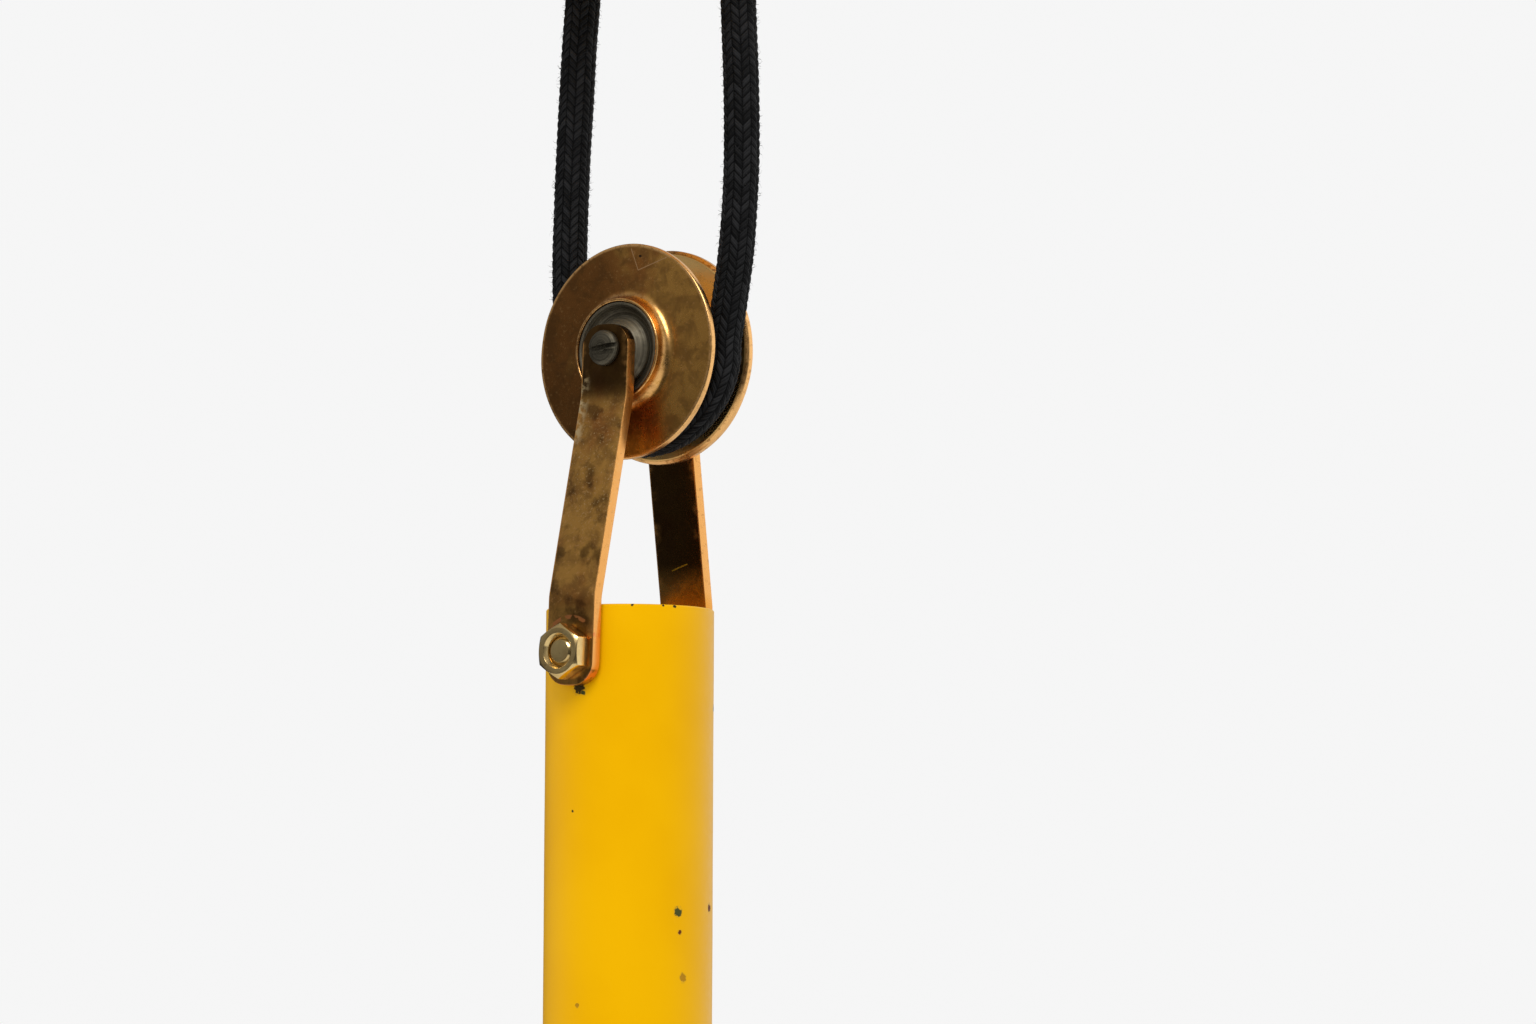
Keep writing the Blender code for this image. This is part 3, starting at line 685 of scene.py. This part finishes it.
def axle(front_face, rear_face, look, place):
    """The sleeve between the straps, and the slotted screw through them with its nut."""
    reach_f, reach_r = front_face - GAP, -rear_face + GAP
    sleeve = turned([(2.2, reach_r), (3.2, reach_r), (3.2, reach_f), (2.2, reach_f)], "Y", 48)
    show(mesh_object("axle_tube", sleeve), "axle_sleeve", look, "yoke", place, 0.0, LEAN)

    head = front_face + STRAP_T + GAP / 4
    tail = -(rear_face + STRAP_T + 5.2)
    crown = [(3.65, head), (3.7, head + 0.9, 0.4), (3.0, head + 1.55, 0.9), (1.6, head + 1.85, 0.9), (0, head + 1.9)]
    shape = [(0, tail), (AXLE_R - 0.4, tail), (AXLE_R, tail + 0.4), (AXLE_R, head)] + crown
    screw = mesh_object("axle_slotted_screw", turned(rounded(shape, 6), "Y", 96))
    slot = [(-6, -0.48), (6, -0.48), (6, 0.48), (-6, 0.48)]
    cutter = prism(slot, -(head + 4), -(head + 0.7), "Y")
    bmesh.ops.rotate(cutter, verts=cutter.verts, cent=(0, 0, 0), matrix=Matrix.Rotation(math.radians(-8), 3, "Y"))
    trim(screw, cutter)
    chewed = prism([(-4.5, -1.75), (4.5, -1.3), (4.5, -0.4), (-4.5, -0.4)], -(head + 4), -(head + 1.25), "Y")
    trim(screw, chewed)
    ease(screw, 0.10, 2, 40)
    show(screw, "axle_screw", look, "yoke", place, 0.0, LEAN)
    nut = hex_nut("axle_hex_nut", 7, tail + 1.4, tail + 4.9, AXLE_R + GAP / 2)
    show(nut, "axle_nut", look, "yoke", place, 0.0, LEAN)


def hex_nut(name, across_flats, low, high, bore, axis="Y"):
    """A nut with chamfered ends and countersunk mouths, points up and down."""
    corner = across_flats / 2 / math.cos(math.pi / 6)
    face = across_flats * 0.475
    drop = (corner - face) * 0.55
    mouth = bore + 0.62
    ring = [(bore, low + 0.8), (mouth, low, 0.08), (face, low, 0.12), (corner, low + drop), (corner, high - drop)]
    ring += [(face, high, 0.12), (mouth, high, 0.08), (bore, high - 0.8)]
    nut = mesh_object(name, turned(rounded(ring), axis, 120))
    flats = [(corner * math.sin(math.radians(60 * i)), corner * math.cos(math.radians(60 * i))) for i in range(6)]
    blank = prism(flats, -high - 1, -low + 1, "Y") if axis == "Y" else prism(flats, low - 1, high + 1, "Z")
    trim(nut, blank, "INTERSECT")
    ease(nut, 0.10, 2, 30)
    return nut


# Yoke


def rounded_rectangle(left, right, bottom, top, radius, steps=10):
    corners = ((right, bottom, -90), (right, top, 0), (left, top, 90), (left, bottom, 180))
    outline = []
    for x, z, start in corners:
        inward_x = -radius if x == right else radius
        inward_z = -radius if z == top else radius
        outline += arc((x + inward_x, z + inward_z), radius, start, start + 90, steps)
    return outline


def filleted(points, radius, steps=12):
    """A polyline with its inner corners rounded."""
    route = [Vector(points[0])]
    for before, corner, after in zip(points, points[1:], points[2:]):
        corner = Vector(corner)
        to_before = (Vector(before) - corner).normalized()
        to_after = (Vector(after) - corner).normalized()
        half = to_before.angle(to_after) / 2
        reach = radius / math.tan(half)
        middle = corner + (to_before + to_after).normalized() * (radius / math.sin(half))
        start = corner + to_before * reach - middle
        end = corner + to_after * reach - middle
        sweep = start.angle_signed(end)
        for i in range(steps + 1):
            route.append(middle + Matrix.Rotation(-sweep * i / steps, 2) @ start)
    return route + [Vector(points[-1])]


def strap(node, side, high_face, bend_height, look):
    """A flat bar bent twice: beside the tube, leaning in, then upright beside the sheave."""
    middle_low = STRAP_LOW + STRAP_T / 2
    middle_high = high_face + STRAP_T / 2
    line = [(middle_low, STRAP_BOTTOM - 2), (middle_low, RIM + 1.6)]
    line += [(middle_high, bend_height), (middle_high, STRAP_TOP + 2)]
    centre = filleted(line, 9.0)
    inner = []
    outer = []
    for i, point in enumerate(centre):
        along = centre[min(i + 1, len(centre) - 1)] - centre[max(i - 1, 0)]
        across = Vector((along.y, -along.x)).normalized() * STRAP_T / 2
        outer.append(point + across)
        inner.append(point - across)
    outline = [(side * p.x, p.y) for p in outer + inner[::-1]]
    piece = mesh_object("brass_" + node, prism(outline, -STRAP_W, STRAP_W, "X"))
    shape = rounded_rectangle(-STRAP_W / 2, STRAP_W / 2, STRAP_BOTTOM, STRAP_TOP, 4.8)
    trim(piece, prism(shape, -40, 40, "Y"), "INTERSECT")
    trim(piece, cylinder(BOLT_R + GAP, -40, 40, "Y"))
    hole = cylinder(AXLE_R + GAP, -40, 40, "Y")
    bmesh.ops.translate(hole, verts=hole.verts, vec=(0, 0, AXLE_ABOVE_BOLT))
    trim(piece, hole)
    ease(piece, 0.28, 3, 40)
    show(piece, node, look, "yoke", BOLT, 0.0, LEAN)


def bolt_and_nut(look, spacer_look):
    """The bolt through both straps and the tube: a low slotted head behind, a nut in front."""
    seat = STRAP_LOW + STRAP_T + GAP / 4
    nut_high = seat + 4.05
    end = nut_high - 0.7
    back = -(seat + BOLT_HEAD)
    shape = [(0, back), (BOLT_HEAD_R, back, 0.6), (BOLT_HEAD_R, -seat, 0.1), (BOLT_R, -seat)]
    shape += [(BOLT_R, end - 0.6), (BOLT_R - 0.7, end, 0.15), (0, end)]
    bolt = mesh_object("brass_through_bolt", turned(rounded(shape, 6), "Y", 96))
    trim(bolt, prism([(-6, -0.6), (6, -0.6), (6, 0.6), (-6, 0.6)], -back - 0.9, -back + 3, "Y"))
    show(bolt, "through_bolt", look, "yoke", BOLT, 0.0, LEAN)
    nut = hex_nut("brass_bolt_nut", 10, seat, nut_high, BOLT_R + GAP / 4)
    show(nut, "bolt_nut", look, "yoke", BOLT, 0.0, LEAN)
    reach = math.sqrt((TUBE_R - TUBE_WALL) ** 2 - 5.0**2) - GAP
    outline = [(3.2, -reach), (5.0, -reach, 0.2), (5.0, reach, 0.2), (3.2, reach)]
    spacer = mesh_object("steel_bolt_spacer", turned(rounded(outline), "Y", 64))
    show(spacer, "bolt_spacer", spacer_look, "yoke", BOLT, 0.0, LEAN)


# Counterweight


def weight(paint, plain_paint, lead):
    bottom = TUBE_LOW.z - BOLT.z
    inner = TUBE_R - TUBE_WALL
    wall = [(TUBE_R, RIM + (bottom - RIM) * i / 24) for i in range(1, 24)]
    outline = [(inner, bottom), (inner, RIM, 0.4), (TUBE_R, RIM, 0.45)] + wall + [(TUBE_R, bottom, 0.3)]
    tube = mesh_object("yellow_weight_tube", turned(rounded(outline), "Z", 224))
    dent(tube, 0.05, 16, seed=3.0)
    trim(tube, cylinder(BOLT_R + GAP, -30, 30, "Y"))
    show(tube, "weight_tube", paint, "weight", BOLT)

    slug_low, slug_high = extent("ballast_slug")
    radius = (slug_high.x - slug_low.x) / 2
    low, high = slug_low.z - BOLT.z, slug_high.z - BOLT.z
    slug = turned(rounded([(0, low), (radius, low, 0.8), (radius, high, 0.9), (0, high)]), "Z", 96)
    show(mesh_object("cast_ballast_slug", slug), "ballast_slug", lead, "weight", BOLT)

    plug_low, plug_high = extent("bottom_plug")
    low, top = plug_low.z - BOLT.z, plug_high.z - BOLT.z
    seat = bottom - GAP
    spigot = inner - GAP
    outline = [(0, top), (spigot, top, 0.5), (spigot, seat), (TUBE_R, seat, 0.25), (TUBE_R, low, 1.6), (0, low)]
    plug = mesh_object("yellow_bottom_plug", turned(rounded(outline, 8), "Z", 224))
    show(plug, "bottom_plug", plain_paint, "weight", BOLT)


# Ceiling fitting


def canopy(paint, brass, zinc, grip_look):
    depth = -CANOPY_LOW.z
    bore = BOLT_R + GAP
    outer = [(CANOPY_R, -0.4, 0.3)] + arc((CANOPY_R - 9, -depth + 9), 9, 0, -90, 16)
    inner = arc((CANOPY_R - 9, -depth + 9), 9 - CANOPY_WALL, -90, 0, 14) + [(CANOPY_R - CANOPY_WALL, -0.4, 0.3)]
    floor = [(bore, -depth), (bore, -depth + CANOPY_WALL)]
    cup = mesh_object("yellow_canopy_cup", turned(rounded(outer + floor + inner), "Z", 160))
    for side in (-1, 1):
        hole = cylinder(5.6, -depth - 3, -depth + 4, "Z")
        bmesh.ops.translate(hole, verts=hole.verts, vec=(side * CORD_SPACING / 2, 0, 0))
        trim(cup, hole)
    show(cup, "canopy_cup", paint, "ceiling")

    bar = mesh_object("steel_mounting_bar", prism(rounded_rectangle(-38, 38, -10, 10, 4), -2.5, 0.0, "Z"))
    trim(bar, cylinder(bore, -4, -0.8, "Z"))
    for side in (-1, 1):
        hole = cylinder(2.3, -4, 2, "Z")
        bmesh.ops.translate(hole, verts=hole.verts, vec=(side * 30, 0, 0))
        trim(bar, hole)
    ease(bar, 0.2, 2)
    show(bar, "mounting_bar", zinc, "ceiling")

    low, high = extent("canopy_nipple")
    shape = [(0, low.z), (BOLT_R, low.z, 0.4), (BOLT_R, high.z, 0.3), (0, high.z)]
    nipple = mesh_object("threaded_nipple", turned(rounded(shape), "Z", 64))
    show(nipple, "canopy_nipple", zinc, "ceiling")
    low, high = extent("nipple_lock_nut")
    nut = hex_nut("steel_lock_nut", 10, low.z, high.z, bore, "Z")
    show(nut, "nipple_lock_nut", zinc, "ceiling")
    knurled_nut(brass)
    for side, name in ((-1, "left"), (1, "right")):
        cord_outlet(side, name, depth, brass, zinc, grip_look)


def knurled_nut(brass):
    low, high = extent("canopy_knurled_nut")
    top = high.z
    bore = BOLT_R + GAP
    grip = [(7.5, top - 0.5 - 4.0 * i / 8) for i in range(9)]
    shape = [(bore, top), (6.9, top, 0.2)] + grip + [(6.6, top - 5.3, 0.3)]
    shape += arc((0, top - 5.3), top - 5.3 - low.z, 0, -90, 12) + [(bore, low.z + 3)]
    shape = [p for p in shape if p[0] >= 0]
    nut = mesh_object("brass_knurled_nut", turned(rounded(shape), "Z", 144))
    for vertex in nut.data.vertices:
        radius = math.hypot(vertex.co.x, vertex.co.y) / MM
        if radius > 7.3:
            wave = math.cos(36 * math.atan2(vertex.co.y, vertex.co.x))
            vertex.co.xy *= 1 - 0.022 * (1 - wave) / 2
    show(nut, "canopy_knurled_nut", brass, "ceiling", sharp=60)


def cord_outlet(side, name, depth, brass, zinc, grip_look):
    spot = (side * CORD_SPACING / 2, 0, -depth)
    bore = CORD_R + GAP
    ring = [(bore, -7.4, 0.7), (bore + 2.1, -7.4, 0.8), (7.0, -2.4, 0.5), (8.6, -1.9, 0.35), (8.6, -GAP, 0.2)]
    ring += [(5.4, -GAP), (5.4, 5.0), (bore, 5.0)]
    outlet = mesh_object("brass_cord_outlet_" + name, turned(rounded(ring, 6), "Z", 96))
    show(outlet, "cord_outlet_" + name, brass, "ceiling", spot)
    ring = [(5.6, 1.5), (8.0, 1.5, 0.4), (8.0, 4.3, 0.4), (5.6, 4.3)]
    nut = mesh_object("steel_outlet_nut_" + name, turned(rounded(ring), "Z", 64))
    show(nut, "outlet_nut_" + name, zinc, "ceiling", spot)
    ring = [(bore, 5.4), (7.9, 5.4, 0.6), (7.9, 14.0, 0.6), (bore, 14.0)]
    grip = mesh_object("moulded_cord_grip_" + name, turned(rounded(ring), "Z", 72))
    hole = cylinder(1.75, 2.0, 12.0, "Y", 32)
    bmesh.ops.translate(hole, verts=hole.verts, vec=(0, 0, 10.0))
    trim(grip, hole)
    show(grip, "cord_grip_" + name, grip_look, "ceiling", spot)
    body = [(0, bore), (1.5, bore, 0.3), (1.5, 8.3), (2.6, 8.3, 0.1), (2.6, 9.6, 0.4), (0, 9.6)]
    screw = mesh_object("steel_grip_screw_" + name, turned(rounded(body), "Y", 48))
    trim(screw, prism([(-4, -0.3), (4, -0.3), (4, 0.3), (-4, 0.3)], -12, -9.0, "Y"))
    show(screw, "grip_screw_" + name, zinc, "ceiling", Vector(spot) + Vector((0, 0, 10.0)))


# Cord

WALES = 12  # columns of stitches round the cord
STITCH = 1.86  # along the cord
STEPS_PER_WALE = 12
STITCH_HEIGHT = 0.52
BRAID_TWIST = math.radians(25)  # over the whole cord
FILAMENTS = 3.0  # across one stitch
FIBRES = 1500


def smooth_route(points, samples):
    """Points on a smooth curve through the route's points (Catmull-Rom)."""
    ends = [Vector(points[0]) * 2 - Vector(points[1]), Vector(points[-1]) * 2 - Vector(points[-2])]
    knots = ends[:1] + [Vector(p) for p in points] + ends[1:]
    route = []
    for a, b, c, d in zip(knots, knots[1:], knots[2:], knots[3:]):
        for i in range(samples):
            t = i / samples
            bend = (2 * a - 5 * b + 4 * c - d) * t * t + (3 * b - a - 3 * c + d) * t * t * t
            route.append((2 * b + (c - a) * t + bend) / 2)
    return route + [knots[-2]]


def cord_line(spacing):
    """Evenly spaced points on the cord's centreline, in millimetres, and their distance from its start."""
    under = [(UNDER_X * x, UNDER_Z * z) for x, z in arc((0, 0), 1.0, UNDER_FROM, UNDER_TO, 10)]
    route = smooth_route(LEFT_LEG + BIGHT_LEFT + under + BIGHT_RIGHT + RIGHT_LEG, 24)
    flat = np.array([tuple(p) for p in route])
    run = np.concatenate([[0], np.cumsum(np.linalg.norm(np.diff(flat, axis=0), axis=1))])
    along = np.linspace(0, run[-1], int(run[-1] / spacing))
    line = np.stack([np.interp(along, run, flat[:, 0]), np.zeros(len(along)), np.interp(along, run, flat[:, 1])], 1)
    return line + np.array(AXLE), along


def stitches(wale, row):
    """Height of the braid from 0 to 1: slanted stitches, leaning the other way in each next column."""
    column = np.floor(wale)
    across = wale - column - 0.5
    lean = np.mod(column, 2) * 2 - 1
    within = np.mod(row - lean * across, 1.0) - 0.5
    crown = np.sqrt(np.clip(1 - (2 * within) ** 2 * 0.92, 0, 1))
    dive = np.clip(1 - np.abs(2 * across) ** 3, 0, 1)
    return crown * (0.25 + 0.75 * dive)


def braided_cord(look):
    steps = WALES * STEPS_PER_WALE
    line, along = cord_line(0.2)
    tangent = np.gradient(line, axis=0)
    tangent /= np.linalg.norm(tangent, axis=1, keepdims=True)
    sideways = np.array([0.0, 1.0, 0.0])
    normal = np.cross(tangent, sideways)
    turn = np.linspace(0, 1, steps + 1)
    twist = BRAID_TWIST * along / along[-1]
    angle = turn[None] * 2 * np.pi + twist[:, None]
    wale = np.broadcast_to(turn[None] * WALES, angle.shape)
    row = np.broadcast_to((along / STITCH)[:, None], angle.shape)
    height = stitches(np.mod(wale, WALES), row)
    wander = np.array([noise.noise(Vector((a / 9.0, 0.3, 0.7))) for a in along])
    radius = CORD_R - STITCH_HEIGHT * 0.62 + STITCH_HEIGHT * height + 0.05 * wander[:, None]
    ring = np.cos(angle)[..., None] * normal[:, None] + np.sin(angle)[..., None] * sideways
    places = line[:, None] + radius[..., None] * ring
    places = places[:, :steps].reshape(-1, 3) * MM
    rows = len(along)
    index = np.arange(rows * steps).reshape(rows, steps)
    after = np.roll(index, -1, axis=1)
    quads = np.stack([index[:-1], after[:-1], after[1:], index[1:]], -1).reshape(-1, 4)
    mesh = bpy.data.meshes.new("braided_cord")
    caps = [index[0][::-1].tolist(), index[-1].tolist()]
    mesh.from_pydata(places.tolist(), [], quads.tolist() + caps)
    layer = mesh.uv_layers.new(name="braid")
    ids = np.arange(rows)[:, None] + np.zeros(steps, int)[None]
    k = np.broadcast_to(np.arange(steps), (rows, steps))
    u = np.stack([k[:-1], k[:-1] + 1, k[1:] + 1, k[1:]], -1) * (WALES / steps)
    v = np.stack([along[ids[:-1]], along[ids[:-1]], along[ids[1:]], along[ids[1:]]], -1) / STITCH
    flat = np.zeros((len(mesh.loops), 2))
    flat[: u.size, 0] = u.reshape(-1)
    flat[: v.size, 1] = v.reshape(-1)
    layer.data.foreach_set("uv", flat.reshape(-1).astype(np.float32))
    mesh.materials.append(look)
    mesh.shade_smooth()
    cord = bpy.data.objects.new("braided_cord", mesh)
    bpy.context.scene.collection.objects.link(cord)
    if mesh.polygons[0].normal.dot(Vector(ring[0, 0])) < 0:
        mesh.flip_normals()
    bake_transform(cord)
    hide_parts("cord_leg_left", "cord_bight", "cord_leg_right")
    fibres = loose_fibres(line, normal)


def loose_fibres(line, normal):
    """Short hairs that stand off the braid: thin three-sided spikes, bent to one side.

    None stand in the sheave's groove or the canopy's outlets.
    """
    draw = random.Random(7)
    mouth = extent("cord_outlet_left")[0].z
    offset = line - np.array(AXLE)
    clear = (np.linalg.norm(offset, axis=1) > SHEAVE_R + 1.5) & (line[:, 2] < mouth - 1.5)
    stretch = [i for i in range(1, len(line) - 1) if clear[i]]
    verts = []
    faces = []
    sideways = Vector((0.0, 1.0, 0.0))
    for _ in range(FIBRES):
        i = draw.choice(stretch)
        out = Vector(normal[i])
        angle = draw.uniform(0, 2 * math.pi)
        outward = (out * math.cos(angle) + sideways * math.sin(angle)).normalized()
        along = Vector(line[i + 1] - line[i - 1]).normalized()
        across = outward.cross(along)
        length = draw.uniform(0.4, 1.5)
        bend = along * draw.uniform(-0.9, 0.9) + across * draw.uniform(-0.6, 0.6)
        root = Vector(line[i]) + outward * (CORD_R - 0.25)
        first = len(verts)
        for t, half in ((0.0, 0.050), (0.5, 0.040), (1.0, 0.012)):
            middle = root + outward * (0.25 + length * (t - 0.35 * t * t)) + bend * (length * t * t)
            for k in range(3):
                turn = 2 * math.pi * k / 3
                verts.append((middle + (along * math.cos(turn) + across * math.sin(turn)) * half) * MM)
        for ring in (first, first + 3):
            for k in range(3):
                m = (k + 1) % 3
                faces.append((ring + k, ring + m, ring + 3 + m, ring + 3 + k))
        faces.append((first + 2, first + 1, first))
        faces.append((first + 6, first + 7, first + 8))
    mesh = bpy.data.meshes.new("cord_fibres")
    mesh.from_pydata([tuple(v) for v in verts], [], faces)
    black = Surface("loose_yarn", Base_Color=(0.02, 0.02, 0.021, 1.0), Specular_IOR_Level=0.2)
    mesh.materials.append(black.finish(None, black.ramp(black.noise(0.5), 0.3, 0.7, 0.6, 0.8)))
    fibres = bpy.data.objects.new("cord_fibres", mesh)
    bpy.context.scene.collection.objects.link(fibres)
    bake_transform(fibres)
    return fibres


# Room: pale floor, soft light and the camera

BACKDROP = 0.92
ROOM_LIGHT = 0.78


def studio():
    floor_z = -0.75
    mesh = bpy.data.meshes.new("floor")
    half = 1.1
    corners = [(-half, -half, floor_z), (half, -half, floor_z), (half, half, floor_z), (-half, half, floor_z)]
    mesh.from_pydata(corners, [], [(0, 1, 2, 3)])
    floor = bpy.data.objects.new("floor", mesh)
    bpy.context.scene.collection.objects.link(floor)
    pale = bpy.data.materials.new("pale_floor")
    pale.use_nodes = True
    pale.node_tree.nodes["Principled BSDF"].inputs["Base Color"].default_value = (0.8, 0.8, 0.79, 1)
    pale.node_tree.nodes["Principled BSDF"].inputs["Roughness"].default_value = 0.7
    mesh.materials.append(pale)

    white_room()


def white_room():
    """White all round for the eye, and for reflections a bright wall at the right and a dim room in front."""
    world = bpy.data.worlds.new("white_room")
    bpy.context.scene.world = world
    world.use_nodes = True
    tree = world.node_tree

    def node(kind, inputs=(), **settings):
        made = tree.nodes.new(kind)
        for key, value in settings.items():
            setattr(made, key, value)
        for key, value in dict(inputs).items():
            if isinstance(value, bpy.types.NodeSocket):
                tree.links.new(value, made.inputs[key])
            else:
                made.inputs[key].default_value = value
        return made.outputs

    direction = node("ShaderNodeTexCoord")["Generated"]
    facing = node("ShaderNodeVectorMath", {0: direction, 1: (0.6, 0.8, 0.0)}, operation="DOT_PRODUCT")["Value"]
    upward = node("ShaderNodeVectorMath", {0: direction, 1: (0.0, 0.0, 1.0)}, operation="DOT_PRODUCT")["Value"]
    dim = node("ShaderNodeMath", {0: upward, 1: 0.48, 2: 0.17}, operation="MULTIPLY_ADD")[0]
    dim = node("ShaderNodeMath", {0: dim, 1: 0.03}, operation="MAXIMUM")[0]
    ahead = node("ShaderNodeVectorMath", {0: direction, 1: (-0.59, -0.8, 0.0)}, operation="DOT_PRODUCT")["Value"]
    limits = {"Value": ahead, "From Min": 0.2, "From Max": 0.9, "To Min": 0.4, "To Max": 1.0}
    share = node("ShaderNodeMapRange", limits, interpolation_type="SMOOTHSTEP")["Result"]
    dim = node("ShaderNodeMath", {0: dim, 1: share}, operation="MULTIPLY")[0]
    limits = {"Value": facing, "From Min": -0.1, "From Max": 0.95, "To Min": 0.0, "To Max": 0.95}
    wall = node("ShaderNodeMapRange", limits, interpolation_type="SMOOTHSTEP")["Result"]
    mirrored = node("ShaderNodeMath", {0: dim, 1: wall}, operation="ADD")[0]
    rays = node("ShaderNodeLightPath")
    soft = node("ShaderNodeMix", {0: rays["Is Diffuse Ray"], 2: mirrored, 3: ROOM_LIGHT})[0]
    seen = node("ShaderNodeMix", {0: rays["Is Camera Ray"], 2: soft, 3: BACKDROP})[0]
    tree.links.new(seen, tree.nodes["Background"].inputs["Color"])


def soft_light(name, place, target, size, power, colour=(1.0, 1.0, 1.0)):
    data = bpy.data.lights.new(name, "AREA")
    data.shape = "DISK"
    data.size = size
    data.energy = power
    data.color = colour
    lamp = bpy.data.objects.new(name, data)
    bpy.context.scene.collection.objects.link(lamp)
    lamp.location = place
    lamp.rotation_euler = (Vector(place) - Vector(target)).to_track_quat("Z", "Y").to_euler()


def camera():
    """A long lens, a little below the tube's rim and to the right of the front."""
    azimuth, elevation, roll = math.radians(36.48), math.radians(5.48), math.radians(0.23)
    turn = Matrix.Rotation(azimuth, 3, "Z") @ Matrix.Rotation(math.pi / 2 + elevation, 3, "X")
    turn = turn @ Matrix.Rotation(roll, 3, "Z")
    right, up, back = turn.col[0], turn.col[1], turn.col[2]
    rim = Vector((BOLT.x, BOLT.y, TUBE_HIGH.z))
    place = rim + right * 28.73 + up * 20.45 + back * 1144.25
    data = bpy.data.cameras.new("camera")
    data.lens = 128.68
    data.sensor_width = 36.0
    data.clip_start = 0.05
    eye = bpy.data.objects.new("camera", data)
    bpy.context.scene.collection.objects.link(eye)
    eye.matrix_world = Matrix.Translation(place * MM) @ turn.to_4x4()
    bpy.context.scene.camera = eye


def main():
    bpy.context.scene.view_settings.view_transform = "Standard"
    camera()
    braided_cord(black_braid("braid"))

    steel = dark_steel("turned_steel")
    zinc = zinc_steel("zinc")
    nut_brass = bright_brass("nut_brass", 2.0)
    # On the discs the tone and the darkening are painted light and shade across the face.
    disc = {"grain": turning_lines, "tone": painted_light_across_disc, "soot_and_shade": painted_shade_left, "worn_to": BARE}
    front = aged_brass("flange_brass_front", rim_edge, 0.0, marks_and_painted_light=disc_marks, **disc)
    rear = aged_brass("flange_brass_rear", rim_edge, 5.0, marks_and_painted_light=groove_side, **disc)
    flange("flange_front", FRONT_BOSS, front, 0.0)
    flange("flange_rear", REAR_BOSS, rear, math.pi)
    groove_core(aged_brass("groove_brass", no_edge, 9.0))
    hub_bush("hub_bush_front", FRONT_BOSS, steel, 0.0)
    hub_bush("hub_bush_rear", REAR_BOSS, steel, math.pi)

    front_face = FRONT_HIGH + SHEAVE_Y
    rear_face = REAR_HIGH - SHEAVE_Y
    cone_washer("cone_washer_front", hub_floor(FRONT_BOSS), front_face, steel, 0.0, AXLE)
    cone_washer("cone_washer_rear", hub_floor(REAR_BOSS), rear_face, steel, math.pi, AXLE)
    axle(front_face, rear_face, dark_steel("screw_steel", 4.0, 0.6), AXLE)
    look = aged_brass("strap_brass_front", strap_edge, 12.0, None, along_strap, 0.27, soot_front, front_strap_marks_and_painted_light)
    strap("strap_front", -1, FRONT_HIGH, FRONT_BEND, look)
    look = aged_brass("strap_brass_rear", strap_edge, 21.0, None, along_strap, 0.2, soot_rear_clear_at_painted_glow, rear_strap_painted_glow_and_smear)
    strap("strap_rear", 1, REAR_HIGH, REAR_BEND, look)
    bolt_and_nut(nut_brass, zinc)

    green, rust, dark, tan = (0.05, 0.06, 0.02), (0.12, 0.02, 0.01), (0.03, 0.02, 0.01), (0.42, 0.20, 0.01)
    chips = [
        (73.7, -53.2, 0.95, green),
        (75.4, -57.3, 0.50, rust),
        (78.1, -66.5, 0.80, tan),
        (111.0, -52.0, 0.90, rust),
        (123.0, -10.6, 0.80, dark),
        (-3.4, -32.6, 0.30, dark),
        (1.8, -72.3, 0.45, tan),
        (39.3, 9.7, 0.30, dark),
        (60.9, 9.7, 0.25, dark),
        (69.5, 9.6, 0.35, dark),
        (1.8, -7.2, 1.40, dark),
        (5.0, -8.3, 0.50, green),
    ]
    weight(lacquer("lacquered_tube", chips), lacquer("lacquered_plug"), ballast_metal("cast_ballast"))
    canopy(lacquer("lacquered_canopy", (), False), bright_brass("outlet_brass"), zinc, black_grip("grip"))

    studio()
    middle = (0.0, 0.0, -0.17)
    soft_light("key", (0.62, -1.15, 0.95), middle, 0.8, 14)


main()
